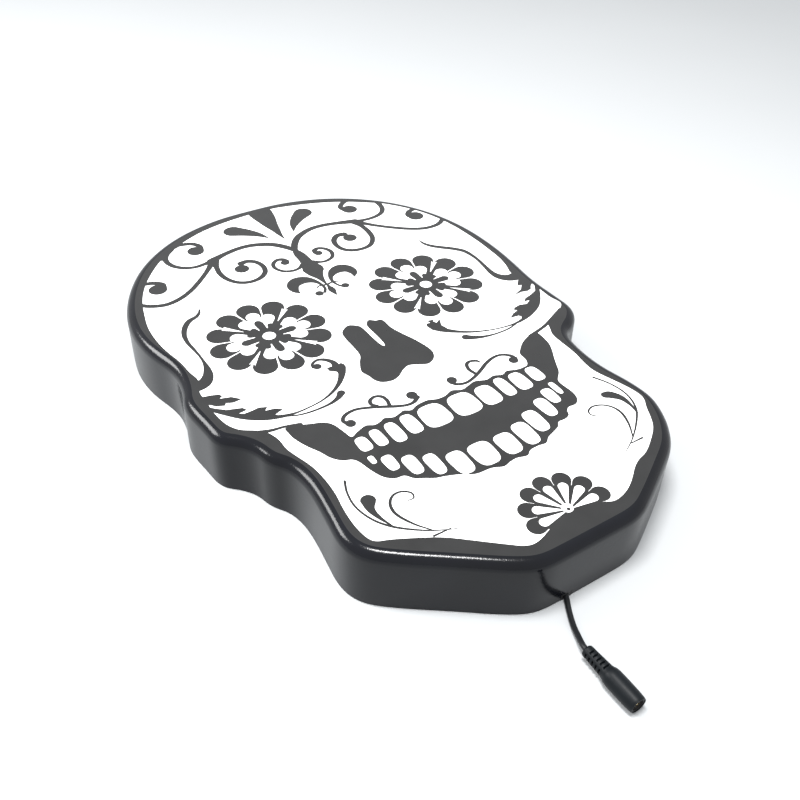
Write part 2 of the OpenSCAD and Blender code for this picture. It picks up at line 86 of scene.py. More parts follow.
@dataclass(frozen=True)
class Finish:
    """A procedural finish: a toned colour, uneven gloss and two scales of relief.

    Scales are cells per metre, depths are metres, and every pattern reads object coordinates.
    """

    name: str
    colour: tuple[float, float, float]
    roughness: float
    tone: float = 0.12
    tone_scale: float = 60.0
    pattern: Pattern = Pattern.CLOUD
    stretch: tuple[float, float, float] = (1.0, 1.0, 1.0)
    gloss_change: float = 0.05
    relief_scale: float = 900.0
    relief_depth: float = 0.00002
    fine_scale: float = 4000.0
    fine_depth: float = 0.000004
    metallic: float = 0.0
    ior: float = 1.5
    coat: float = 0.0
    coat_roughness: float = 0.1
    transmission: float = 0.0
    subsurface: float = 0.0
    grazing: bool = True

    def material(self) -> bpy.types.Material:
        """Builds the finish's material.

        Returns:
            The material, with one shader whose colour, roughness and normal have patterns.
        """
        made = bpy.data.materials.new(self.name)
        made.use_nodes = True
        tree = made.node_tree
        tree.nodes.clear()
        out = tree.nodes.new("ShaderNodeOutputMaterial")
        shader = tree.nodes.new("ShaderNodeBsdfPrincipled")
        tree.links.new(shader.outputs["BSDF"], out.inputs["Surface"])
        constants = {
            "Metallic": self.metallic, "IOR": self.ior, "Coat Weight": self.coat,
            "Coat Roughness": self.coat_roughness, "Transmission Weight": self.transmission,
            "Subsurface Weight": self.subsurface, "Subsurface Radius": (1.0, 1.0, 1.0),
            "Subsurface Scale": GLOW_DEPTH,
        }
        for socket, value in constants.items():
            shader.inputs[socket].default_value = value
        place = tree.nodes.new("ShaderNodeTexCoord")
        turned = tree.nodes.new("ShaderNodeMapping")
        turned.inputs["Scale"].default_value = self.stretch
        tree.links.new(place.outputs["Object"], turned.inputs["Vector"])
        where = turned.outputs["Vector"]
        ramp = tree.nodes.new("ShaderNodeValToRGB")
        ramp.color_ramp.elements[0].position = 0.3
        ramp.color_ramp.elements[1].position = 0.7
        ramp.color_ramp.elements[0].color = (*self._toned(1.0 - self.tone), 1.0)
        ramp.color_ramp.elements[1].color = (*self._toned(1.0 + self.tone), 1.0)
        tree.links.new(self._tone_field(tree, where), ramp.inputs["Fac"])
        tree.links.new(ramp.outputs["Color"], shader.inputs["Base Color"])
        gloss = tree.nodes.new("ShaderNodeMapRange")
        gloss.inputs["To Min"].default_value = max(0.02, self.roughness - self.gloss_change)
        gloss.inputs["To Max"].default_value = min(1.0, self.roughness + self.gloss_change)
        tree.links.new(self._noise(tree, where, self.tone_scale * 3.1, 3.0), gloss.inputs["Value"])
        tree.links.new(gloss.outputs["Result"], shader.inputs["Roughness"])
        if not self.grazing:
            self._quiet_edges(tree, shader)
        coarse = self._bump(tree, self._noise(tree, where, self.relief_scale, 2.0), self.relief_depth)
        fine = self._bump(tree, self._noise(tree, where, self.fine_scale, 2.0), self.fine_depth)
        tree.links.new(coarse.outputs["Normal"], fine.inputs["Normal"])
        tree.links.new(fine.outputs["Normal"], shader.inputs["Normal"])
        return made

    @staticmethod
    def _quiet_edges(tree: bpy.types.NodeTree, shader: bpy.types.Node) -> None:
        """Fades the gloss out where the surface is seen almost edge on.

        Args:
            tree: The material's nodes.
            shader: Its shader.
        """
        edge = tree.nodes.new("ShaderNodeLayerWeight")
        fade = tree.nodes.new("ShaderNodeMapRange")
        fade.interpolation_type = "SMOOTHSTEP"
        for socket, value in EDGE_FADE.items():
            fade.inputs[socket].default_value = value
        tree.links.new(edge.outputs["Facing"], fade.inputs["Value"])
        tree.links.new(fade.outputs["Result"], shader.inputs["Specular IOR Level"])

    def _toned(self, share: float) -> tuple[float, float, float]:
        """The colour made darker or lighter by a share, kept under white."""
        return tuple(min(0.97, c * share) for c in self.colour)

    def _tone_field(self, tree: bpy.types.NodeTree, where: bpy.types.NodeSocket) -> bpy.types.NodeSocket:
        """The pattern that the tone follows.

        Args:
            tree: The material's nodes.
            where: The coordinates to read.

        Returns:
            A value from 0 to 1.
        """
        if self.pattern is Pattern.SPANGLE:
            cells = tree.nodes.new("ShaderNodeTexVoronoi")
            cells.inputs["Scale"].default_value = self.tone_scale
            tree.links.new(where, cells.inputs["Vector"])
            return cells.outputs["Distance"]
        if self.pattern is Pattern.RINGS:
            rings = tree.nodes.new("ShaderNodeTexWave")
            rings.wave_type = "RINGS"
            rings.inputs["Scale"].default_value = self.tone_scale
            rings.inputs["Distortion"].default_value = 4.0
            rings.inputs["Detail"].default_value = 3.0
            tree.links.new(where, rings.inputs["Vector"])
            return rings.outputs["Fac"]
        detail = 6.0 if self.pattern is Pattern.GRAIN else 3.0
        return self._noise(tree, where, self.tone_scale, detail)

    @staticmethod
    def _noise(
        tree: bpy.types.NodeTree, where: bpy.types.NodeSocket, scale: float, detail: float
    ) -> bpy.types.NodeSocket:
        """A cloudy noise of a scale, as a value near one half.

        Args:
            tree: The material's nodes.
            where: The coordinates to read.
            scale: Cells per metre.
            detail: How many finer layers it has.

        Returns:
            The noise.
        """
        noise = tree.nodes.new("ShaderNodeTexNoise")
        noise.inputs["Scale"].default_value = scale
        noise.inputs["Detail"].default_value = detail
        tree.links.new(where, noise.inputs["Vector"])
        return noise.outputs["Fac"]

    @staticmethod
    def _bump(tree: bpy.types.NodeTree, height: bpy.types.NodeSocket, depth: float) -> bpy.types.Node:
        """A bump of a depth in metres from a height field.

        Args:
            tree: The material's nodes.
            height: The height field.
            depth: Metres from its lowest to its highest.

        Returns:
            The bump node.
        """
        bump = tree.nodes.new("ShaderNodeBump")
        bump.inputs["Strength"].default_value = 1.0
        bump.inputs["Distance"].default_value = depth
        tree.links.new(height, bump.inputs["Height"])
        return bump


OPAL_SHEET = Finish(
    "opal_sheet", (0.95, 0.95, 0.945), 0.32, tone=0.012, tone_scale=9, gloss_change=0.05,
    relief_scale=120, relief_depth=0.00001, fine_scale=2500, fine_depth=0.0000006, subsurface=0.1,
)
GLOSS_COAT = Finish(
    "gloss_black_coat", (0.0035, 0.004, 0.006), 0.16, tone=0.3, tone_scale=25, gloss_change=0.04,
    relief_scale=900, relief_depth=0.00005, fine_scale=3200, fine_depth=0.000004, ior=1.33,
    grazing=False,
)
PRINTED_INK = Finish(
    "printed_ink", (0.011, 0.011, 0.0112), 0.3, tone=0.2, tone_scale=40, gloss_change=0.06,
    relief_scale=700, relief_depth=0.000004, fine_scale=5200, fine_depth=0.0000012,
)
LEAD_JACKET = Finish(
    "lead_jacket", (0.006, 0.0068, 0.008), 0.42, ior=1.36, tone=0.2, tone_scale=180, relief_scale=1400,
    relief_depth=0.00001, fine_scale=6000, fine_depth=0.000003,
)
SOCKET_MOULDING = Finish(
    "socket_moulding", (0.003, 0.0045, 0.006), 0.46, ior=1.26, tone=0.16, tone_scale=200, relief_scale=2600,
    relief_depth=0.000012, fine_scale=9000, fine_depth=0.000004,
)
ZINC_SCREW = Finish(
    "zinc_screw", (0.62, 0.63, 0.65), 0.3, tone=0.12, tone_scale=900, metallic=1.0,
    relief_scale=3000, relief_depth=0.000006,
)
FINISHES: dict[str, Finish] = {
    "back_panel": Finish(
        "foamed_board", (0.03, 0.03, 0.032), 0.55, tone=0.2, tone_scale=45, gloss_change=0.08,
        relief_scale=1500, relief_depth=0.00003, fine_scale=5000, fine_depth=0.00001,
    ),
    "reflector_sheet": Finish("reflector_sheet", (0.9, 0.9, 0.89), 0.6, tone=0.02),
    "fixing_blocks": Finish(
        "raw_softwood", (0.58, 0.41, 0.25), 0.65, tone=0.22, tone_scale=60, pattern=Pattern.RINGS,
        stretch=(1.0, 0.25, 3.0), relief_scale=700, relief_depth=0.00006,
    ),
    "hanger_plates": Finish(
        "zinc_plate", (0.56, 0.57, 0.59), 0.34, tone=0.16, tone_scale=420, pattern=Pattern.SPANGLE,
        metallic=1.0, relief_scale=1800, relief_depth=0.000008,
    ),
    "module_pads": Finish("foam_tape", (0.78, 0.78, 0.73), 0.8, relief_depth=0.00006),
    "module_housings": Finish("module_tray", (0.86, 0.86, 0.84), 0.4, tone=0.03),
    "module_boards": Finish("solder_mask", (0.82, 0.85, 0.82), 0.35, tone=0.05, coat=0.4),
    "module_chips": Finish("phosphor_chip", (0.85, 0.68, 0.18), 0.4, tone=0.1, tone_scale=800),
    "module_lenses": Finish(
        "clear_lens", (0.93, 0.95, 0.97), 0.08, tone=0.01, gloss_change=0.02, transmission=0.9
    ),
    "module_wires": Finish("wire_insulation", (0.45, 0.02, 0.02), 0.45, tone_scale=300),
    "lead_splices": Finish("shrink_sleeve", (0.02, 0.02, 0.022), 0.4, tone_scale=300),
    "cable_clip": Finish("natural_nylon", (0.82, 0.81, 0.77), 0.5, tone=0.04, subsurface=0.1),
    "clip_screws": Finish("zinc_clip_screw", (0.62, 0.63, 0.65), 0.3, metallic=1.0, tone_scale=900),
    "cable_bush": Finish("bush_rubber", (0.012, 0.012, 0.013), 0.6, tone_scale=300),
    "lead_inner": LEAD_JACKET,
    "socket_insert": Finish("insert_moulding", (0.018, 0.018, 0.02), 0.5, tone_scale=400),
    "socket_contact": Finish(
        "nickel_spring", (0.68, 0.66, 0.62), 0.25, tone_scale=900, metallic=1.0,
        pattern=Pattern.GRAIN, stretch=(1.0, 0.2, 1.0),
    ),
    "socket_pin": Finish("plated_pin", (0.78, 0.62, 0.34), 0.22, tone_scale=900, metallic=1.0),
}


# ---- Mesh data ----


@dataclass
class Skin:
    """Vertices in millimetres, with quads and triangles between them."""

    verts: np.ndarray
    quads: np.ndarray = field(default_factory=lambda: np.zeros((0, 4), int))
    tris: np.ndarray = field(default_factory=lambda: np.zeros((0, 3), int))

    def __add__(self, other: "Skin") -> "Skin":
        """Both skins as one."""
        n = len(self.verts)
        return Skin(
            np.vstack([self.verts, other.verts]),
            np.vstack([self.quads, other.quads + n]),
            np.vstack([self.tris, other.tris + n]),
        )

    def placed(self, matrix: np.ndarray, shift: tuple[float, float, float]) -> "Skin":
        """The skin turned by a 3x3 matrix and then moved."""
        return Skin(self.verts @ matrix.T + np.array(shift), self.quads, self.tris)


def grid(points: np.ndarray, around: bool = True, along: bool = False) -> Skin:
    """Quads between the rows of a grid of points.

    Args:
        points: An array of rows, columns and x, y, z. Rows go up, columns go anticlockwise.
        around: The last column joins the first.
        along: The last row joins the first.

    Returns:
        The skin, which faces outwards when rows go up and columns go anticlockwise.
    """
    rows, cols = points.shape[:2]
    r = np.arange(rows if along else rows - 1)[:, None]
    c = np.arange(cols if around else cols - 1)[None, :]
    up, right = (r + 1) % rows, (c + 1) % cols
    quads = np.stack(
        [r * cols + c, r * cols + right, up * cols + right, up * cols + c], -1
    ).reshape(-1, 4)
    return Skin(points.reshape(-1, 3), quads)


def dress(
    name: str, skin: Skin, slot: Slot, material: bpy.types.Material, *nodes: str, smooth: float = 35.0
) -> bpy.types.Object:
    """Makes a piece from a skin in millimetres, welds its seams and puts it on the body.

    Args:
        name: The piece's name.
        skin: Its mesh data.
        slot: The record's slot, handed on to adopt.
        material: Its material.
        nodes: The CAD nodes that it stands for.
        smooth: Edges sharper than this many degrees stay sharp.

    Returns:
        The piece's object.
    """
    mesh = bpy.data.meshes.new(name)
    mesh.from_pydata((skin.verts * MM).tolist(), [], skin.quads.tolist() + skin.tris.tolist())
    work = bmesh.new()
    work.from_mesh(mesh)
    bmesh.ops.remove_doubles(work, verts=work.verts, dist=WELD * MM)
    bmesh.ops.dissolve_degenerate(work, edges=work.edges, dist=SPECK * MM)
    work.to_mesh(mesh)
    work.free()
    mesh.polygons.foreach_set("use_smooth", np.ones(len(mesh.polygons), bool))
    mesh.set_sharp_from_angle(angle=math.radians(smooth))
    mesh.materials.append(material)
    piece = bpy.data.objects.new(name, mesh)
    bpy.context.scene.collection.objects.link(piece)
    adopt(piece, slot, *nodes)
    return piece


def adopt(piece: bpy.types.Object, slot: Slot, *nodes: str) -> None:
    """Puts a piece on the body, hides the CAD nodes it stands for, and reports them.

    Args:
        piece: The piece.
        slot: The record's slot. Not used.
        nodes: The CAD nodes that it stands for.
    """
    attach(piece, BODY)
    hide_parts(*nodes)
    LOG.info("%s stands for %s", piece.name, ", ".join(nodes))


# ---- Plane curves ----


def through_middles(control: np.ndarray, steps: int, rounds: int = 0) -> np.ndarray:
    """A closed smooth curve: parabolas from middle to middle of its control points.

    Args:
        control: Control points, anticlockwise.
        steps: Points on each parabola.
        rounds: How often each point is then eased towards its two neighbours.

    Returns:
        The curve's points.
    """
    after, later = np.roll(control, -1, 0), np.roll(control, -2, 0)
    t = (np.arange(steps) / steps)[None, :, None]
    first, last = ((control + after) / 2)[:, None], ((after + later) / 2)[:, None]
    curve = (first * (1 - t) ** 2 + 2 * after[:, None] * t * (1 - t) + last * t * t).reshape(-1, 2)
    for _ in range(rounds):
        curve = (np.roll(curve, 1, 0) + 2 * curve + np.roll(curve, -1, 0)) / 4
    return curve


def outward(curve: np.ndarray) -> np.ndarray:
    """Unit normals of a closed anticlockwise curve, to its outside.

    Args:
        curve: The curve's points.

    Returns:
        One normal for each point.
    """
    along = np.roll(curve, -1, 0) - np.roll(curve, 1, 0)
    side = np.stack([along[:, 1], -along[:, 0]], 1)
    return side / np.linalg.norm(side, axis=1)[:, None]


def cubic(near: list[np.ndarray], steps: int) -> np.ndarray:
    """Points on cubics that each run from the second to the third of four neighbours.

    Each cubic leaves a point in the direction between the points on either side of it.

    Args:
        near: The first, second, third and fourth neighbour of every span.
        steps: Points on each span.

    Returns:
        The points, as spans by steps by coordinates.
    """
    a, b, c, d = near
    t = (np.arange(steps) / steps)[None, :, None]
    curve = 2 * b + (c - a) * t + (2 * a - 5 * b + 4 * c - d) * t**2 + (3 * b - a - 3 * c + d) * t**3
    return curve / 2


def through_points(points: np.ndarray, steps: int) -> np.ndarray:
    """An open smooth curve through its points, each span a cubic set by its four nearest points.

    Args:
        points: The points in order.
        steps: Points on each span.

    Returns:
        The curve's points, the last one included.
    """
    padded = np.vstack([2 * points[:1] - points[1:2], points, 2 * points[-1:] - points[-2:-1]])
    spans = [padded[i:len(padded) - 3 + i][:, None] for i in range(4)]
    return np.vstack([cubic(spans, steps).reshape(-1, points.shape[1]), points[-1:]])


# ---- Printed shapes, in millimetres on the face ----

SHEET_STEP = 0.5
SHEET_RISE = -61.5
Place = tuple[float, float]


@dataclass(frozen=True)
class Mark:
    """One closed shape of the artwork: its outline, and whether it prints or leaves the sheet bare."""

    outline: np.ndarray
    inked: bool = True

    @property
    def bare(self) -> "Mark":
        """The same shape, left bare."""
        return Mark(self.outline, False)


def on_sheet(points: np.ndarray) -> np.ndarray:
    """Artwork places, in half millimetres from the artwork's own zero, as millimetres on the face."""
    return np.asarray(points, float)[:, :2] * SHEET_STEP + np.array([0.0, SHEET_RISE])


def stroke(*stations: tuple[float, float, float]) -> Mark:
    """A pen line that swells and thins, with rounded ends.

    The centreline is a smooth curve through the stations, and each side stands off from it along
    its normal by half the width there, which follows the same smooth curve.

    Args:
        stations: x, y and the line's full width there.

    Returns:
        The line's shape.
    """
    line = through_points(np.array(stations, float), 7)
    half = np.maximum(line[:, 2:], 0.15) / 2
    along = np.gradient(line[:, :2], axis=0)
    along /= np.linalg.norm(along, axis=1)[:, None]
    side = np.stack([-along[:, 1], along[:, 0]], 1)
    turn = np.linspace(0, np.pi, 9)[1:-1, None]
    tip = line[-1:, :2] + half[-1] * (side[-1:] * np.cos(turn) + along[-1:] * np.sin(turn))
    tail = line[:1, :2] - half[0] * (side[:1] * np.cos(turn) + along[:1] * np.sin(turn))
    left, right = line[:, :2] + side * half, line[:, :2] - side * half
    return Mark(on_sheet(np.vstack([left, tip, right[::-1], tail])))


def dot(x: float, y: float, r: float) -> Mark:
    """A round spot."""
    a = np.linspace(0, 2 * np.pi, 28, endpoint=False)
    return Mark(on_sheet(np.stack([x + r * np.cos(a), y + r * np.sin(a)], 1)))


def blob(*points: Place, ease: int = 5) -> Mark:
    """A closed shape that runs smoothly through its points.

    Args:
        points: Artwork places.
        ease: Points on each span.

    Returns:
        The shape.
    """
    ring = np.array(points, float)
    spans = [np.roll(ring, 1 - i, 0)[:, None] for i in range(4)]
    return Mark(on_sheet(cubic(spans, ease).reshape(-1, 2)))


def patch(*points: Place) -> Mark:
    """A closed shape with straight sides and sharp points, such as a toothed leaf."""
    return Mark(on_sheet(np.array(points, float)))


def petal(centre: Place, angle: float, near: float, far: float, r: float) -> Mark:
    """A drop: its point at one distance from a centre, and a round end of radius r at another.

    Its two straight sides leave the point and touch the round end.

    Args:
        centre: The flower's centre.
        angle: The drop's direction in degrees.
        near: Distance of the point from the centre.
        far: Distance of the round end's middle.
        r: Radius of the round end.

    Returns:
        The drop's shape.
    """
    touch = math.acos(min(0.999, r / (far - near)))
    a = np.linspace(touch - np.pi, np.pi - touch, 18)
    shape = np.vstack([[near, 0.0], np.stack([far + r * np.cos(a), r * np.sin(a)], 1)])
    c, s = math.cos(math.radians(angle)), math.sin(math.radians(angle))
    return Mark(on_sheet(shape @ np.array([[c, s], [-s, c]]) + np.array(centre)))


def tooth(left: float, right: float, top: float, bottom: float, taper: float) -> Mark:
    """A tooth: a rounded plate whose |x|^3 + |y|^3.4 is one, made narrower at one end.

    Args:
        left: Its left edge.
        right: Its right edge.
        top: Its upper edge.
        bottom: Its lower edge.
        taper: The share by which the upper end is wider.

    Returns:
        The shape.
    """
    a = np.linspace(0, 2 * np.pi, 40, endpoint=False)
    x = np.sign(np.cos(a)) * np.abs(np.cos(a)) ** (2 / 3.0)
    y = np.sign(np.sin(a)) * np.abs(np.sin(a)) ** (2 / 3.4)
    x = x * (1 + taper * y)
    half = np.array([right - left, top - bottom]) / 2
    return Mark(on_sheet(np.stack([x, y], 1) * half + np.array([left + right, top + bottom]) / 2))


def cut_out(marks: list[Mark], window: np.ndarray | None, top: float, bottom: float) -> Skin:
    """A thin plate of every place where the last mark over it prints.

    The marks' outlines are cut into triangles that never cross them. A triangle stays if the last
    mark that holds it prints and it is inside the window. Edges with one triangle get a side wall.

    Args:
        marks: Shapes in painting order.
        window: A closed curve that the plate stays inside, or None.
        top: Height of the plate's upper face.
        bottom: Height of its lower face.

    Returns:
        The closed plate.
    """
    rings = [m.outline for m in marks] + ([] if window is None else [window])
    rings = [r if signed_area(r) > 0 else r[::-1] for r in rings]
    starts = np.cumsum([0] + [len(r) for r in rings])
    faces = [list(range(a, b)) for a, b in zip(starts[:-1], starts[1:])]
    flat = [Vector(p) for p in np.vstack(rings).tolist()]
    points, _, cells, _, _, sources = delaunay_2d_cdt(flat, [], faces, 1, 1e-4, True)
    last = len(marks)
    kept = [
        cell
        for cell, source in zip(cells, sources)
        if is_inked(marks, source, last) and (window is None or last in source)
    ]
    plane = np.array([tuple(p) for p in points], float)
    used, tris = np.unique(np.array(kept, int), return_inverse=True)
    plane, tris = plane[used], tris.reshape(-1, 3)
    corner = plane[tris]
    side1, side2 = corner[:, 1] - corner[:, 0], corner[:, 2] - corner[:, 0]
    wrong = side1[:, 0] * side2[:, 1] - side1[:, 1] * side2[:, 0] < 0
    tris[wrong] = tris[wrong][:, ::-1]
    n = len(plane)
    upper = np.column_stack([plane, np.full(n, top)])
    lower = np.column_stack([plane, np.full(n, bottom)])
    edges = np.vstack([tris[:, [0, 1]], tris[:, [1, 2]], tris[:, [2, 0]]])
    rim = edges[~np.isin(edges @ [n, 1], edges @ [1, n])]
    walls = np.stack([rim[:, 0], rim[:, 0] + n, rim[:, 1] + n, rim[:, 1]], 1)
    return Skin(np.vstack([upper, lower]), walls, np.vstack([tris, tris[:, ::-1] + n]))


def signed_area(ring: np.ndarray) -> float:
    """Twice the area inside a closed curve, positive when it runs anticlockwise."""
    after = np.roll(ring, -1, 0)
    return float(np.sum(ring[:, 0] * after[:, 1] - ring[:, 1] * after[:, 0]))


def is_inked(marks: list[Mark], source: list[int], last: int) -> bool:
    """Whether the last mark that holds a triangle prints."""
    held = [i for i in source if i < last]
    return bool(held) and marks[max(held)].inked


# ---- The formed shell ----

# Each side of the outline in millimetres, crown to chin: each pair's middle lies on the curve.
LEFT_SIDE = [
    (31, 200.9), (69, 189), (102, 164), (123.5, 131.5), (135, 98), (135.5, 67), (126.5, 37),
    (129, 16), (135, 1), (132.5, -20), (131, -37), (121.5, -45), (115.5, -54), (113, -66),
    (105.5, -76), (103, -92), (105.5, -115), (108.5, -135), (104.5, -149), (92.5, -160),
    (66, -179), (46, -194), (32.5, -201.3), (14, -201.5),
]
RIGHT_SIDE = [
    (31, 200.9), (69, 189), (102, 164), (124, 131.5), (135, 95), (137, 60), (134.5, 30),
    (130.5, 4), (131, -20), (131.5, -39), (121.5, -51), (107, -58.5), (103, -75), (102.5, -97),
    (107, -116), (108.5, -134), (104, -147), (97, -159.5), (86, -172), (70, -181.5),
    (49, -193.5), (33.5, -201.3), (14, -201.5),
]
# The inner edge of the black border in artwork places, crown to chin, on each side.
WINDOW_LEFT = [
    (0, 507), (-50, 503), (-100, 491), (-150, 464), (-180, 439), (-200, 415), (-218, 390),
    (-235, 355), (-245, 315), (-250, 290), (-251, 260), (-248, 230), (-241, 200), (-240, 175),
    (-236, 160), (-238, 145), (-245, 135), (-244, 115), (-245, 95), (-243, 75), (-240, 62),
    (-232, 48), (-215, 38), (-206, 28), (-201, 10), (-202, -5), (-198, -20), (-190, -45),
    (-188, -70), (-189, -95), (-193, -115), (-195, -140), (-193, -160), (-188, -170), (-175, -174),
    (-150, -187), (-130, -198), (-115, -210), (-100, -223), (-80, -240), (-68, -250), (-58, -254),
    (-45, -252), (-30, -246), (-15, -242),
]
WINDOW_RIGHT = [
    (0, -241), (20, -242), (40, -246), (50, -253), (65, -251), (80, -245), (95, -235), (105, -227),
    (118, -220), (133, -217), (155, -203), (172, -190), (182, -175), (190, -160), (198, -150),
    (201, -140), (198, -120), (190, -95), (184, -75), (186, -55), (190, -35), (190, -10), (191, 10),
    (197, 20), (203, 33), (215, 40), (235, 48), (247, 55), (251, 62), (250, 68), (247, 80),
    (248, 95), (248, 112), (248, 125), (241, 145), (240, 160), (247, 175), (253, 200), (254, 230),
    (255, 250), (254, 280), (252, 310), (245, 345), (235, 374), (220, 402), (196, 433), (181, 444),
    (147, 469), (99, 491), (50, 504), (30, 507),
]


@dataclass
class FormedShell:
    """The opal sheet formed over a mould, with its black coat, in millimetres."""

    height: float = 38.0
    wall: float = 2.5
    edge_r: float = 6.0
    draft: float = 0.5
    ink: float = 0.12
    sunk: float = 0.03
    coat_gap: float = 0.6
    steps: int = 12
    notch_at: tuple[float, float] = (-13.2, -202.2)
    notch_turn: float = -30.0
    notch_size: tuple[float, float, float] = (6.2, 24.0, 4.4)

    def __post_init__(self) -> None:
        """Works out the outline and the window once."""
        left, right = np.array(LEFT_SIDE), np.array(RIGHT_SIDE)
        ring = np.vstack([[[0, 201.7]], left * [-1, 1], [[0, -201.5]], right[::-1]])
        self.outline = through_middles(ring, self.steps, 5)
        self.normals = outward(self.outline)
        control = on_sheet(np.array(WINDOW_LEFT + WINDOW_RIGHT))
        self.window = through_middles(control, 4)

    def rings(self, skin: float, bottom: float, radius: float, inset: float = 0.0) -> np.ndarray:
        """Offsets and heights up the wall and round the front edge.

        The wall leans out by the draft towards the back, and the front edge is a quarter circle
        of the radius, all moved out by skin.

        Args:
            skin: How far the surface stands out from the sheet's outside.
            bottom: Height of the lowest ring.
            radius: Radius of the quarter circle.
            inset: How far the wall stands in from the sheet's outside.

        Returns:
            Rows of offset from the outline and height.
        """
        start = self.height - self.edge_r
        z = np.concatenate([[bottom, bottom + 0.4], np.linspace(bottom + 2, start, 9)[:-1]])
        lean = self.draft * (1 - z / start)
        wall = np.column_stack([lean + skin - inset, z])
        a = np.linspace(0, np.pi / 2, 15)
        curve = np.column_stack([radius * np.cos(a) - self.edge_r, start + radius * np.sin(a)])
        return np.vstack([wall, curve])

    def loft(self, rings: np.ndarray) -> np.ndarray:
        """Points of the outline moved along its normals by each ring's offset, at its height.

        Args:
            rings: Rows of offset and height.

        Returns:
            An array of rings, points and x, y, z.
        """
        flat = self.outline[None] + self.normals[None] * rings[:, :1, None]
        height = np.broadcast_to(rings[:, 1:, None], (*flat.shape[:2], 1))
        return np.concatenate([flat, height], -1)

    def shell(self) -> Skin:
        """The whole sheet: outside, flat face, inside and back rim.

        The face runs from the last ring to the middle on straight lines.

        Returns:
            The closed sheet.
        """
        outside = self.loft(self.rings(0.0, 0.0, self.edge_r))
        inside = self.loft(self.rings(0.0, 0.0, self.edge_r - self.wall, self.wall))
        middle = np.array([0.0, -10.0])
        share = np.linspace(1, 0, 12)[1:, None, None]
        face = middle + (outside[-1:, :, :2] - middle) * share
        face = np.concatenate([face, np.full((*face.shape[:2], 1), self.height)], -1)
        back = middle + (inside[-1:, :, :2] - middle) * share
        back = np.concatenate([back, np.full((*back.shape[:2], 1), self.height - self.wall)], -1)
        return grid(np.concatenate([back[::-1], inside[::-1], outside, face]))

    def coat(self) -> Skin:
        """The black coat up the wall and round the front edge.

        Returns:
            The closed coat.
        """
        outside = self.loft(self.rings(self.ink, self.coat_gap, self.edge_r + self.ink))
        inside = self.loft(self.rings(-self.sunk, self.coat_gap, self.edge_r - self.sunk))
        return grid(np.concatenate([inside[::-1], outside]), along=True)

    def border(self) -> Skin:
        """The coat's flat part, from the rounded edge to the window.

        Returns:
            The closed plate.
        """
        rim = self.loft(self.rings(self.ink, self.coat_gap, self.edge_r + self.ink))[-1, :, :2]
        marks = [Mark(rim), Mark(self.window, False)]
        return cut_out(marks, None, self.height + self.ink, self.height - self.sunk)

    def notch(self, piece: bpy.types.Object) -> None:
        """Cuts the lead's notch through the back rim of a piece.

        Args:
            piece: The piece, whose mesh is replaced.
        """
        mesh = bpy.data.meshes.new("notch_tool")
        work = bmesh.new()
        bmesh.ops.create_cube(work, size=1.0)
        wide, deep, high = self.notch_size
        shape = (
            Matrix.Translation(Vector((*self.notch_at, (high - 2) / 2)) * MM)
            @ Matrix.Rotation(math.radians(self.notch_turn), 4, "Z")
            @ Matrix.Diagonal((wide * MM, deep * MM, (high + 2) * MM, 1.0))
        )
        bmesh.ops.transform(work, matrix=shape, verts=work.verts)
        work.to_mesh(mesh)
        work.free()
        tool = bpy.data.objects.new("notch_tool", mesh)
        bpy.context.scene.collection.objects.link(tool)
        cut = piece.modifiers.new("notch", "BOOLEAN")
        cut.operation, cut.solver, cut.object = "DIFFERENCE", "EXACT", tool
        graph = bpy.context.evaluated_depsgraph_get()
        done = bpy.data.meshes.new_from_object(piece.evaluated_get(graph))
        piece.modifiers.clear()
        old, piece.data = piece.data, done
        done.name = old.name + "_notched"
        bpy.data.meshes.remove(old)
        bpy.data.objects.remove(tool)
        bpy.data.meshes.remove(mesh)

    def build(self) -> None:
        """Makes the shell and its coat."""
        coat, border = GLOSS_COAT.material(), PRINTED_INK.material()
        sheet = OPAL_SHEET.material()
        self.notch(dress("formed_opal_shell", self.shell(), Slot.OPAL, sheet, "opal_shell"))
        self.notch(dress("gloss_black_coat", self.coat(), Slot.COAT, coat, "black_coat"))
        dress("printed_border", self.border(), Slot.COAT, border, "black_coat")


# ---- The artwork ----


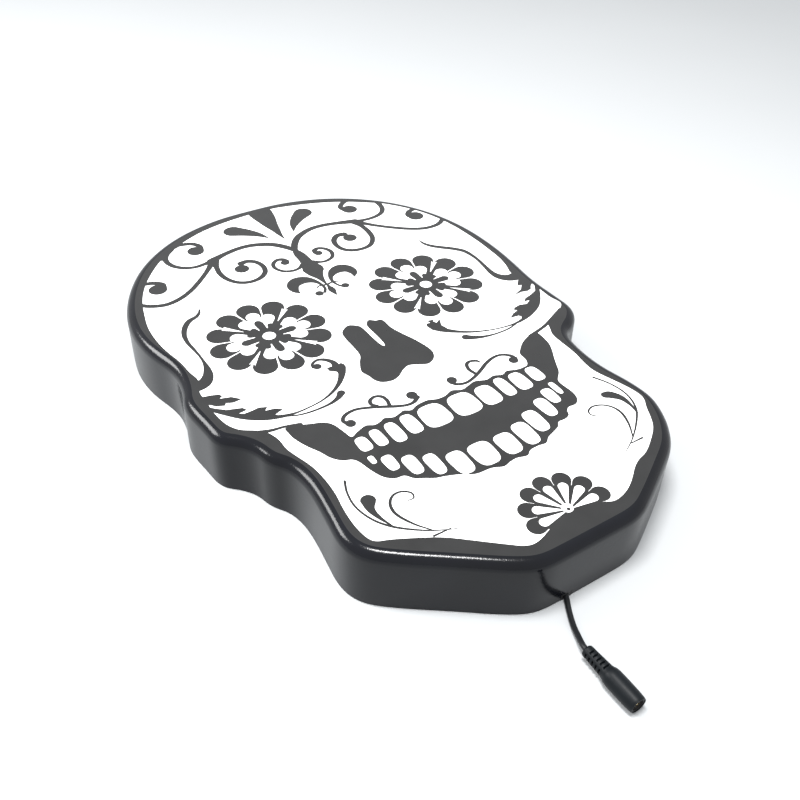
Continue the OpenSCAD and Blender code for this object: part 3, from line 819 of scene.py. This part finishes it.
@dataclass
class Artwork:
    """The printed ornament.

    Flower petals, teeth and spots follow a rule. Lines, leaves, nose and mouth band are smooth or
    straight-sided curves through listed points.
    """

    shell: FormedShell
    left_eye: Place = (-124, 195)
    right_eye: Place = (118, 194.5)
    chin: Place = (3, -237)

    def flower(self, centre: Place) -> list[Mark]:
        """A flower eye of twelve petals.

        The petals are drops from the centre. Four bare clusters of three lobes stand over them, a
        dark star of four long and eight short rays over those, and a bare spot in the middle.

        Args:
            centre: The flower's middle.

        Returns:
            Its shapes in painting order.
        """
        cx, cy = centre
        marks = [petal(centre, a, 0, 64.5, 15.6) for a in range(0, 360, 30)]
        marks.append(dot(cx, cy, 44))
        for a in range(0, 360, 90):
            marks.append(petal(centre, a, 10, 49, 9.3).bare)
            marks += [petal(centre, a + s * 23, 12, 40.5, 9.2).bare for s in (-1, 1)]
        for a in range(45, 360, 90):
            marks.append(self.slit(centre, a).bare)
            marks += [petal(centre, a - 45 + s * 15, 22, 61, 0.9).bare for s in (-1, 1)]
        marks.append(dot(cx, cy, 18))
        marks += [petal(centre, a, 4, 33, 5.2) for a in range(0, 360, 90)]
        marks += [petal(centre, a + s * 30, 4, 24, 4.3) for a in range(0, 360, 90) for s in (-1, 1)]
        marks.append(dot(cx, cy, 8.6).bare)
        return marks

    @staticmethod
    def slit(centre: Place, angle: float) -> Mark:
        """A thin bare wedge that widens outwards and ends in a blunt arrow.

        Args:
            centre: The flower's middle.
            angle: The wedge's direction in degrees.

        Returns:
            The shape.
        """
        c, s = math.cos(math.radians(angle)), math.sin(math.radians(angle))
        shape = np.array([(34, 0.3), (58, 3.2), (64, 4.2), (60, 0.0), (64, -4.2), (58, -3.2), (34, -0.3)])
        turned = shape @ np.array([[c, s], [-s, c]]) + np.array(centre)
        return patch(*map(tuple, turned))

    def forehead(self) -> list[Mark]:
        """Flame, two drops, two arches with their scrolls, and a lily below.

        Returns:
            The shapes in painting order.
        """
        marks = [
            stroke((12, 518, 36), (10.5, 500, 37), (9.5, 480, 31), (8, 460, 22), (7.5, 440, 13),
                   (6.5, 425, 7), (6.5, 407, 0)),
            stroke((-12, 422, 0), (-22, 441, 12), (-36, 457, 21), (-51, 470, 29)),
            stroke((28, 422, 0), (38, 441, 12), (52, 457, 21), (69, 470, 29)),
            stroke((4, 378, 4), (4, 360, 15), (4, 345, 17), (3, 330, 20), (2, 312, 31), (0, 300, 24),
                   (-0.5, 285, 11), (-1, 270, 4), (-1, 262, 4), (-1.5, 250, 10), (-2, 240, 5),
                   (-2, 233, 0)),
            stroke((-18, 263, 1.5), (-12, 267, 3), (-1, 265, 4), (10, 267, 3), (17, 263, 1.5)),
        ]
        for side in (-1, 1):
            marks += self.arch(side)
        marks += [
            stroke((-43, 262, 0), (-46, 274, 12), (-43, 286, 18), (-33, 292.5, 21), (-21, 290, 17),
                   (-12, 281, 9), (-8, 270, 5), (-8, 258, 4.5), (-13, 249, 4.5)),
            dot(-21, 250, 6),
            stroke((42, 262, 0), (47, 274, 12), (45, 286, 18), (36, 292.5, 21), (24, 290, 16),
                   (14, 281, 8), (10, 270, 5), (11, 258, 4), (16, 249, 4.5)),
            dot(20, 250, 5.8),
        ]
        return marks

    @staticmethod
    def arch(side: int) -> list[Mark]:
        """One side's arch and its four scrolls, each a line that curls in to a round end.

        Args:
            side: -1 for the left side, 1 for the right.

        Returns:
            The shapes in painting order.
        """
        if side < 0:
            return [
                stroke((4, 370, 8), (-3, 386, 11), (-18, 404, 11), (-42, 416, 10), (-65, 418, 9.5),
                       (-90, 413, 10), (-113, 405, 14)),
                stroke((-5, 329, 9), (-14, 323, 6), (-25, 321.5, 6), (-37, 327, 6), (-43.5, 340, 6),
                       (-41, 352, 6.5), (-32, 359, 7), (-24, 357, 8), (-20, 350, 7)),
                dot(-24.5, 347, 6.5),
                stroke((-109, 404, 14), (-114, 386, 8.5), (-117, 365, 8), (-113, 345, 7.5),
                       (-103, 331, 7.5), (-88, 325, 7.5), (-72, 328, 8), (-60, 339, 8),
                       (-56, 355, 8), (-60, 370, 8.5), (-70, 378, 9.5), (-80, 377, 11)),
                dot(-85, 363, 10.5),
                stroke((-113, 404, 12), (-125, 402, 8), (-140, 401, 7), (-155, 407, 7.5),
                       (-166, 420, 8), (-169.5, 437, 8.5), (-164, 453, 10), (-152, 466, 12)),
                patch((-182, 446), (-172, 440), (-163, 452), (-150, 462), (-136, 468), (-136, 492),
                      (-165, 480)),
                stroke((-148, 473, 12), (-134, 471, 9), (-120, 466, 9), (-112, 455, 8.5),
                       (-113, 444, 8)),
                dot(-122, 443, 12.3),
                stroke((-113, 402, 11), (-130, 382, 7.5), (-150, 362, 7.5), (-170, 345, 7.5),
                       (-190, 334, 8), (-210, 330, 8), (-228, 336, 8), (-240, 346, 8),
                       (-248, 356, 8)),
                stroke((-240, 400, 10), (-222, 394, 8), (-208, 391, 9), (-197, 382, 9),
                       (-197, 372, 8)),
                dot(-206.5, 371, 12.8),
            ]
        return [
            stroke((4, 370, 8), (11, 386, 11), (26, 404, 11), (50, 416, 10), (73, 418, 9.5),
                   (98, 413, 10), (126, 404, 14)),
            stroke((11, 329, 9), (20, 323, 6), (30, 321.5, 6), (42, 327, 6), (48, 340, 7),
                   (45, 352, 7), (37, 359, 7), (29, 357, 8), (26, 350, 7)),
            dot(30, 347, 6.5),
            stroke((123, 404, 14), (127, 386, 9), (127, 365, 9), (122, 345, 8), (110, 330, 8),
                   (95, 325, 7.5), (78, 328, 8), (67, 338, 8), (64, 353, 8), (68, 368, 9),
                   (79, 378, 10), (90, 377, 12)),
            dot(93, 363, 10.5),
            stroke((125, 404, 12), (137, 401, 8), (150, 400, 7.5), (165, 402, 7.5), (178, 409, 8),
                   (186, 421, 8.5), (189, 437, 9), (188, 456, 10)),
            stroke((168, 476, 14), (152, 472, 9), (138, 466, 9), (129, 455, 8.5), (130, 444, 8)),
            dot(138.5, 443, 12.3),
            stroke((126, 402, 11), (145, 378, 8), (165, 358, 8), (185, 341.5, 8), (205, 331, 8),
                   (225, 329, 8), (240, 334, 8), (254, 346, 8)),
            stroke((248, 394, 12), (232, 392, 8.5), (218, 389, 9), (209, 380, 9), (209, 371, 8)),
            dot(217.5, 371, 12.8),
        ]

    @staticmethod
    def cheeks() -> list[Mark]:
        """Temple lines, toothed leaves, long stems with tulips, and the bars below them.

        Returns:
            The shapes.
        """
        return [
            stroke((-177, 297, 2), (-180, 290, 4), (-187, 283, 6), (-199, 278, 8), (-209, 267, 8),
                   (-216, 252, 7), (-218.5, 235, 5.5), (-217.5, 218, 4.5), (-216.5, 200, 3.5),
                   (-217, 185, 4.5), (-219, 171, 9), (-224, 157, 14), (-234, 147, 18),
                   (-252, 146, 22)),
            stroke((179, 303, 1.5), (180, 291, 5), (186, 279, 7), (197, 267.5, 8), (209, 256, 8),
                   (218.5, 243, 8), (221.5, 228, 6.5), (221.5, 210, 5.5), (219, 190, 6.5),
                   (217, 172, 9), (220, 158, 13), (231, 148, 17), (250, 146, 22)),
            patch((-252, 126), (-236, 122), (-227, 119), (-224, 114), (-229, 111), (-216, 107),
                  (-207, 97), (-218, 96), (-226, 99.5), (-229, 96), (-238, 100), (-243, 106),
                  (-252, 108)),
            patch((-247, 104), (-238, 95), (-230, 88), (-221, 85), (-213, 82), (-210, 76),
                  (-221, 75), (-216, 71.5), (-205, 72), (-197, 73), (-188, 69), (-193, 64),
                  (-182, 62), (-174, 56), (-186, 52), (-181, 46), (-195, 51), (-208, 58),
                  (-222, 70), (-235, 84), (-247, 98)),
            stroke((-248, 102, 6), (-236, 85, 6), (-219, 66, 7), (-201, 53.5, 8), (-182, 45.5, 6),
                   (-166, 42.5, 3.5), (-150, 43, 2.4), (-130, 46, 2.6), (-112, 53, 4),
                   (-96, 64, 6), (-84, 78, 9), (-78, 90, 12)),
            patch((-71.5, 93), (-74, 98), (-82, 97), (-94, 98), (-94, 91), (-87, 85), (-88, 75),
                  (-80, 78), (-74, 86)),
            stroke((-83, 92, 11), (-81.5, 103, 8), (-87, 113, 6), (-96, 118, 4.5), (-105, 114, 4),
                   (-108, 107, 3.5)),
            dot(-102.5, 106.5, 5.6),
            stroke((-178, 43, 2), (-162, 37, 2.8), (-145, 35, 3), (-125, 36, 4), (-111, 40.5, 6.5),
                   (-102.5, 47, 10)),
            patch((252, 142), (236, 136), (227, 126), (233, 124), (225, 116), (207, 108.5),
                  (222, 110), (230, 107.5), (238, 109.5), (243, 116), (252, 122)),
            patch((249, 113), (240, 103), (228, 98), (216, 95), (209, 89), (218, 88), (209, 83),
                  (198, 86), (188, 84), (184, 80), (188, 77), (178, 74), (168, 67.5), (181, 66),
                  (183, 62), (178, 57), (196, 62), (210, 67), (224, 77), (238, 94), (250, 108)),
            stroke((250, 112, 6), (237, 93, 7), (220, 75, 8), (203, 65, 8), (185, 57.5, 6),
                   (165, 54, 3.5), (145, 55.5, 2.4), (125, 60, 2.6), (105, 68, 4), (90, 77.5, 5.5),
                   (78, 88, 9), (71, 98, 13)),
            patch((61.5, 108), (63, 98), (70, 89), (82, 91), (79.5, 101), (85.5, 114), (77, 109),
                  (75, 114), (78, 117), (68.5, 119), (70, 113), (64, 114)),
            stroke((167, 53, 2), (150, 49, 2.8), (130, 48.5, 3), (112, 51.5, 5), (99, 57, 8),
                   (91, 62.5, 11)),
            stroke((-222, 36, 8), (-203, 30, 5), (-186, 27.5, 4), (-170, 22, 6)),
            stroke((240, 48, 8), (215, 37.5, 6), (197, 30, 5), (181, 25.5, 5), (165, 21, 7)),
        ]

    @staticmethod
    def nose() -> list[Mark]:
        """Two lobes that a narrow slot parts, widening to two rounded wings.

        Returns:
            The one shape.
        """
        return [
            blob((-27, 163), (-17, 157.5), (-12.8, 149), (-12.5, 122), (-11.5, 106), (-9, 100.5),
                 (-6.5, 106), (-5.5, 124), (-5.5, 147), (-2, 156), (4, 160), (11, 154.5),
                 (17.5, 153), (20, 147), (20, 131), (25, 112), (32, 91), (37, 67), (35, 54),
                 (28, 45), (18, 41), (9, 44.5), (-4, 50.5), (-15, 47), (-27, 38.5), (-38, 35.5),
                 (-50, 39), (-56, 47), (-58, 58), (-61, 70), (-54, 86), (-46, 99), (-44, 118),
                 (-43.5, 140), (-40, 154)),
        ]

    @staticmethod
    def band() -> Mark:
        """The mouth's dark band, with a scalloped edge and a lobe on each cheek.

        Returns:
            The shape.
        """
        return blob(
            (-187, 25), (-174, 23), (-160, 17), (-146, 11.5), (-138, 2), (-134, -14), (-131, -26),
            (-121, -22), (-108, -18), (-99, -22), (-91, -21), (-83, -18), (-73, -22), (-64, -20),
            (-57, -18), (-49, -22), (-38, -18), (-23, -17), (-12, -21), (0, -21), (12, -17),
            (25, -22), (45, -17), (60, -22), (72, -20), (83, -24), (92, -21), (104, -25),
            (114, -26), (122, -24), (127, -15), (128, -3), (134, 5), (146, 15), (160, 22),
            (174, 26), (177.5, 18), (175, -2), (169, -16), (160, -31), (154, -42), (146, -56),
            (135, -67), (133, -76), (134, -94), (131, -106), (123, -113), (112, -113), (106, -117),
            (102, -124), (94, -127), (84, -127), (78, -133), (68, -137), (57, -141), (49, -147),
            (38, -146), (26, -147), (18, -152), (5, -149), (-5, -150), (-15, -152), (-28, -147),
            (-45, -146), (-55, -142), (-65, -136), (-78, -131), (-88, -128), (-98, -122),
            (-107, -117), (-114, -108), (-125, -106), (-134, -98), (-140, -83), (-144, -66),
            (-149, -58), (-158, -54), (-167, -44), (-173, -29), (-181, -13), (-187, 5), (-188, 17),
        )

    def mouth(self) -> list[Mark]:
        """The dark band, two rows of teeth in it, and two curls above.

        Returns:
            The shapes in painting order.
        """
        upper = [
            (-133, -118, -31, -55), (-113, -99, -28, -57), (-93, -77, -27, -62),
            (-71, -53, -25, -59), (-48, -13, -24, -63), (-7, 28, -25, -64), (32, 57, -28, -64),
            (63, 79, -26, -62), (84, 104, -28, -62), (110, 127, -29, -57),
        ]
        lower = [
            (-134, -127, -63, -76), (-123, -109, -71, -96), (-105, -89, -83, -114),
            (-84, -68, -93, -127), (-62, -40, -104, -141), (-35, -6, -106, -143),
            (0, 24, -108, -143), (29, 50, -103, -142), (53, 73, -93, -131), (80, 97, -82, -116),
            (100, 115, -72, -100), (118, 126, -66, -90),
        ]
        marks = [self.band()]
        marks += [tooth(*box, -0.06).bare for box in upper]
        marks += [tooth(*box, 0.08).bare for box in lower]
        return marks + self.curls()

    @staticmethod
    def curls() -> list[Mark]:
        """Two lying S curls over the teeth, each with a small loop.

        Returns:
            The shapes.
        """
        return [
            dot(-120.5, -6, 6.3),
            stroke((-124, -4, 6), (-125.5, 3, 5), (-118, 10, 5), (-104, 12, 4.5), (-90, 7.5, 4.5),
                   (-75, 0.5, 5), (-60, -7.5, 5), (-48, -12, 4.5), (-38, -11.5, 5), (-30, -6, 7)),
            dot(-33.5, 0, 7),
            stroke((-66, -3, 5), (-63.5, 8, 5), (-65.5, 16.5, 5), (-73, 20.5, 4.5), (-81, 17, 5),
                   (-83, 10, 5), (-78, 5, 3)),
            dot(23.5, -1, 6.5),
            stroke((20, -4, 6), (25, -11, 5), (36, -14, 4.5), (50, -10.5, 4.5), (65, -3.5, 5),
                   (80, 4.5, 5), (95, 9.5, 4.5), (107, 8.5, 4.5), (115.5, 1.5, 5.5), (117, -6, 7)),
            dot(113, -8, 6.3),
            stroke((56, -6, 5), (54, 5, 5), (57.5, 15, 5), (64.5, 18, 4.5), (72, 15, 4.5),
                   (74.5, 10.5, 2.5)),
        ]

    def chin_marks(self) -> list[Mark]:
        """Half a flower over the chin, and a sprig on each side of the jaw.

        Returns:
            The shapes in painting order.
        """
        marks = [petal(self.chin, a, 0, 43, 10.8) for a in range(0, 181, 30)]
        marks.append(dot(*self.chin, 36))
        marks += [petal(self.chin, a, 3, 33, 5.6).bare for a in range(0, 181, 30)]
        marks += [dot(self.chin[0], self.chin[1] + 3, 6.5).bare, dot(self.chin[0], self.chin[1] + 1, 2.1)]
        return marks + [
            stroke((-172, -82, 3), (-178, -97, 2.6), (-181, -115, 2.6), (-179, -132, 2.6),
                   (-173, -148, 2.8), (-163, -162, 3), (-150, -174, 2.6), (-135, -185, 2),
                   (-118, -194, 1.3), (-103, -200, 0.5)),
            stroke((-162.5, -161, 1.5), (-167.5, -146, 4.5), (-169.5, -131, 9), (-165.5, -119, 17)),
            stroke((-132, -186, 1.5), (-143, -170, 2.6), (-151, -150, 3.6), (-149, -135, 3.6),
                   (-140, -126, 3), (-129, -126, 2.6), (-121.5, -133, 2.4), (-123.5, -140, 1.8),
                   (-131, -140, 1)),
            stroke((-135, -193.5, 2.6), (-115, -194, 1.4)),
            stroke((175, -86, 3), (183, -103, 2.6), (187, -122, 2.6), (185, -140, 2.6),
                   (177, -157, 2.8), (165, -170, 2.6), (148, -184, 2), (130, -196, 1.4),
                   (108, -207, 0.5)),
            stroke((173, -163, 1.5), (177, -148, 4.5), (176.5, -133, 9), (169.5, -122, 13),
                   (164, -119, 11)),
            stroke((139, -190, 1.5), (150, -173, 2.6), (157, -155, 3.4), (156, -141, 3),
                   (148, -131, 2.6), (136, -127, 2.5), (126, -131, 2.3), (125, -138.5, 1.8),
                   (132, -142, 1)),
            stroke((130, -197, 1.4), (147, -197, 2.6)),
        ]

    def build(self) -> None:
        """Makes the six printed pieces."""
        ink = PRINTED_INK.material()
        prints = {
            "printed_eyes": (self.flower(self.left_eye) + self.flower(self.right_eye), "eye_print"),
            "printed_forehead": (self.forehead(), "brow_print"),
            "printed_cheeks": ([*self.cheeks(), self.band().bare], "cheek_print"),
            "printed_nose": (self.nose(), "nose_print"),
            "printed_mouth": (self.mouth(), "mouth_print"),
            "printed_chin": (self.chin_marks(), "chin_print"),
        }
        top, bottom = self.shell.height + self.shell.ink, self.shell.height - self.shell.sunk
        for name, (marks, node) in prints.items():
            dress(name, cut_out(marks, self.shell.window, top, bottom), Slot.INK, ink, node)


# ---- The lead and its socket ----


@dataclass
class LeadAndSocket:
    """The lead outside the shell and its inline barrel socket, in millimetres."""

    route: tuple[tuple[float, float, float], ...] = (
        (-9.7, -196.1, 1.9), (-11.7, -199.6, 1.9), (-14.7, -204.8, 1.85), (-18.3, -210.7, 1.7),
        (-22.2, -218.2, 2.0), (-25.3, -225.2, 3.4), (-27.5, -230.3, 4.8), (-28.0, -233.0, 5.15),
    )
    lead_r: float = 1.5
    relief: float = 14.5
    total: float = 35.0
    mouth: float = 9.5
    insert_r: float = 4.0
    slots: int = 5

    def lead(self) -> bpy.types.Object:
        """The lead as a round curve on its smooth route.

        Returns:
            The lead's object.
        """
        line = through_points(np.array(self.route), 6) * MM
        curve = bpy.data.curves.new("lead", "CURVE")
        curve.dimensions = "3D"
        curve.bevel_depth = self.lead_r * MM
        curve.bevel_resolution = 6
        curve.use_fill_caps = True
        spline = curve.splines.new("POLY")
        spline.points.add(len(line) - 1)
        spline.points.foreach_set("co", np.column_stack([line, np.ones(len(line))]).ravel())
        spline.use_smooth = True
        curve.materials.append(LEAD_JACKET.material())
        piece = bpy.data.objects.new("lead", curve)
        bpy.context.scene.collection.objects.link(piece)
        adopt(piece, Slot.LEAD, "lead_cord")
        return piece

    def overmould(self) -> Skin:
        """The socket's body, turned about its axis.

        The radius follows a profile along the axis. On the strain relief, each slot takes a
        rounded bite out of it on four sides, and the slots of two opposite sides sit half a
        pitch further on than those of the other two.

        Returns:
            The closed body, with its axis along z.
        """
        z = np.array([0, 0, 0.25, 0.7, self.relief - 1, self.relief + 0.2, self.relief + 1.6,
                      self.relief + 3.4, 24, 30, self.total - 1.2, self.total - 0.4, self.total])
        r = np.array([1.4, 2.6, 3.0, 3.25, 3.9, 4.1, 4.75, 5.05, 5.1, 5.0, 4.8, 4.65, 4.3])
        fine = np.concatenate([[0, 0], np.linspace(0.02, self.relief, 110),
                               np.linspace(self.relief + 0.2, self.total, 60)])
        radius = np.interp(fine, z[1:], r[1:])
        radius = np.convolve(np.pad(radius, 2, "edge"), np.ones(5) / 5, "valid")
        radius[0] = 1.4
        a = np.linspace(0, 2 * np.pi, 96, endpoint=False)
        height, angle = np.meshgrid(fine, a, indexing="ij")
        pitch = 2.4
        sector = np.cos(2 * angle)
        shift = np.where(sector > 0, 0.0, pitch / 2)
        centre = 2.6 + shift + pitch * np.arange(self.slots)[:, None, None]
        bite = np.clip(1.25 - np.abs(height - centre) / 0.44, 0, 1).max(0)
        open_side = np.clip((np.abs(sector) - 0.35) / 0.2, 0, 1)
        deep = 1.1 * bite * open_side * (height < self.relief - 0.6)
        full = radius[:, None] - deep
        floor = self.total - self.mouth - 1.9
        inner = np.array([[4.0, self.total], [self.insert_r, self.total - 0.4],
                          [self.insert_r, floor], [0.01, floor]])
        outer = np.stack([full * np.cos(angle), full * np.sin(angle), height], -1)
        hollow = np.stack(
            [inner[:, :1] * np.cos(a), inner[:, :1] * np.sin(a), np.repeat(inner[:, 1:], len(a), 1)], -1
        )
        start = np.stack([0.01 * np.cos(a), 0.01 * np.sin(a), 0 * a], -1)[None]
        return grid(np.concatenate([start, outer, hollow]))

    def build(self) -> None:
        lead = self.lead()
        turn = np.array([[1.0, 0, 0], [0, 0, -1.0], [0, 1.0, 0]])
        body = self.overmould().placed(turn, self.route[-1])
        socket = dress(
            "socket_overmould_body", body, Slot.SOCKET, SOCKET_MOULDING.material(), "socket_overmould",
            smooth=50.0,
        )
        line = through_points(np.array(self.route), 6)


# ---- Screws and everything behind the face ----


@dataclass
class Hardware:
    """The cross-head screws on the back, and the finishes of the frame's own nodes."""

    panel_z: float = 5.0
    screw_d: float = 3.5
    screw_l: float = 14.0
    small_d: float = 2.5
    small_l: float = 4.2
    plate_z: float = 3.5
    hangers: tuple[tuple[float, float], ...] = (
        (-70.0, 93.0), (-70.0, 127.0), (70.0, 93.0), (70.0, 127.0),
    )

    @staticmethod
    def screw(d: float, length: float) -> Skin:
        """A pan head screw, head down, turned about its axis.

        The head is a quarter ellipse, and a cross is sunk in it where the smaller of |x| and |y|
        is under the blade's half width and the larger is under its half length.

        Args:
            d: Shank diameter.
            length: Length under the head.

        Returns:
            The closed screw, with the head's underside at zero.
        """
        a = np.linspace(0, 2 * np.pi, 48, endpoint=False)
        lift = np.linspace(0.012, np.pi / 2, 20)
        r = np.concatenate([d * np.sin(lift), [d, d / 2, d / 2, 0.01]])
        z = np.concatenate([-0.55 * d * np.cos(lift), [0, 0, length - d / 2, length]])
        x, y = r[:, None] * np.cos(a), r[:, None] * np.sin(a)
        narrow, wide = np.minimum(abs(x), abs(y)), np.maximum(abs(x), abs(y))
        cross = np.clip((0.17 * d - narrow) / (0.06 * d), 0, 1)
        cross = cross * np.clip((0.62 * d - wide) / (0.12 * d), 0, 1)
        head = (np.arange(len(r)) < len(lift))[:, None]
        height = z[:, None] + 0.3 * d * cross * head
        return grid(np.stack([x, y, np.broadcast_to(height, x.shape)], -1))

    def screws(self, d: float, length: float, places: np.ndarray, z: float) -> Skin:
        """One skin of a screw at each place, each turned a little further than the last.

        Args:
            d: Shank diameter.
            length: Length under the head.
            places: The x and y of each screw.
            z: Height of the heads' undersides.

        Returns:
            All the screws.
        """
        made = None
        for k, (x, y) in enumerate(places):
            c, s = math.cos(0.7 * k), math.sin(0.7 * k)
            turn = np.array([[c, -s, 0], [s, c, 0], [0, 0, 1.0]])
            one = self.screw(d, length).placed(turn, (x, y, z))
            made = one if made is None else made + one
        return made

    def panel_places(self) -> np.ndarray:
        """The middle of each panel screw, read from its solid's vertices on the frame.

        Returns:
            The x and y of each screw in millimetres.
        """
        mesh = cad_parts["panel_screws"].data
        co = np.zeros(len(mesh.vertices) * 3, np.float32)
        mesh.vertices.foreach_get("co", co)
        flat = co.reshape(-1, 3)[:, :2] / MM
        key = np.round(flat / 20)
        order = np.unique(key, axis=0)
        near = np.array([flat[(key == k).all(1)].mean(0) for k in order])
        found: list[np.ndarray] = []
        for p in near:
            close = flat[np.linalg.norm(flat - p, axis=1) < 9]
            middle = (close.min(0) + close.max(0)) / 2
            if all(np.linalg.norm(middle - q) > 9 for q in found):
                found.append(middle)
        return np.array(found)

    def build(self) -> None:
        """Makes the screws and dresses the other nodes."""
        zinc = ZINC_SCREW.material()
        panel = self.screws(self.screw_d, self.screw_l, self.panel_places(), self.panel_z)
        dress("cross_head_panel_screws", panel, Slot.SCREW, zinc, "panel_screws")
        small = self.screws(self.small_d, self.small_l, np.array(self.hangers), self.plate_z)
        dress("cross_head_hanger_screws", small, Slot.SCREW, zinc, "hanger_screws")
        made: dict[str, bpy.types.Material] = {}
        for node, finish in FINISHES.items():
            if finish.name not in made:
                made[finish.name] = finish.material()
            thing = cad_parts[node]
            if not thing.material_slots:
                thing.data.materials.append(made[finish.name])
            for slot in thing.material_slots:
                slot.material = made[finish.name]
            LOG.info("%s is dressed in %s", node, finish.name)


# ---- The studio ----


@dataclass
class Studio:
    """Camera, pale floor and soft lights."""

    target: tuple[float, float, float] = (-0.02509, -0.0615, 0.038)
    distance: float = 0.5
    azimuth: float = -33.8
    elevation: float = 39.74
    roll: float = 1.65
    lens: float = 38.39

    def camera(self) -> None:
        """Places the camera round its target and turns it by the roll."""
        a, e, r = (math.radians(v) for v in (self.azimuth, self.elevation, self.roll))
        back = Vector((math.sin(a) * math.cos(e), -math.cos(a) * math.cos(e), math.sin(e)))
        right = Vector((0, 0, 1)).cross(back).normalized()
        up = back.cross(right)
        x = right * math.cos(r) + up * math.sin(r)
        y = -right * math.sin(r) + up * math.cos(r)
        data = bpy.data.cameras.new("camera")
        data.lens, data.sensor_width = self.lens, 36.0
        data.clip_start, data.clip_end = 0.01, 50.0
        camera = bpy.data.objects.new("camera", data)
        bpy.context.scene.collection.objects.link(camera)
        turn = Matrix((x, y, back)).transposed().to_4x4()
        camera.matrix_world = Matrix.Translation(Vector(self.target) + back * self.distance) @ turn
        bpy.context.scene.camera = camera

    @staticmethod
    def floor() -> None:
        """A wide pale floor just under the object, faintly mottled."""
        mesh = bpy.data.meshes.new("floor")
        s = FLOOR_REACH
        mesh.from_pydata([(-s, -s, 0), (s, -s, 0), (s, s, 0), (-s, s, 0)], [], [(0, 1, 2, 3)])
        mesh.materials.append(
            Finish("studio_floor", (0.46, 0.472, 0.48), 0.9, tone=0.01, tone_scale=3).material()
        )
        floor = bpy.data.objects.new("floor", mesh)
        floor.location.z = -FLOOR_DROP
        bpy.context.scene.collection.objects.link(floor)

    @staticmethod
    def light(name: str, at: Place, z: float, size: Place, power: float, aim: Place = (0, -0.03)) -> None:
        """A soft rectangular light that faces a point on the object.

        Args:
            name: The light's name.
            at: Its x and y.
            z: Its height.
            size: Its two sides.
            power: Its power in watts.
            aim: The point on the floor that it faces.
        """
        data = bpy.data.lights.new(name, "AREA")
        data.shape, data.size, data.size_y, data.energy = "RECTANGLE", size[0], size[1], power
        lamp = bpy.data.objects.new(name, data)
        lamp.location = (*at, z)
        facing = Vector((*aim, 0)) - Vector((*at, z))
        lamp.rotation_euler = facing.to_track_quat("-Z", "Y").to_euler()
        bpy.context.scene.collection.objects.link(lamp)

    def build(self) -> None:
        """Sets the surroundings' brightness and makes the floor and the lights."""
        world = bpy.data.worlds.new("surroundings")
        world.use_nodes = True
        sky = world.node_tree.nodes["Background"]
        sky.inputs["Color"].default_value = (0.97, 0.985, 1.0, 1.0)
        sky.inputs["Strength"].default_value = 0.95
        bpy.context.scene.world = world
        bpy.context.scene.view_settings.view_transform = "Standard"
        self.floor()
        self.light("overhead_strip", (-0.15, -0.12), 1.1, (0.4, 0.18), 18.0)
        self.light("rear_window", (-0.85, 0.85), 0.9, (0.7, 0.5), 20.0)


def main() -> None:
    """Builds the light box sub-assembly by sub-assembly."""
    logging.basicConfig(level=logging.INFO, format="%(message)s")
    studio = Studio()
    studio.camera()
    LeadAndSocket().build()
    shell = FormedShell()
    shell.build()
    Artwork(shell).build()
    Hardware().build()
    studio.build()
    LOG.info("boxes written")


if __name__ == "__main__":
    main()
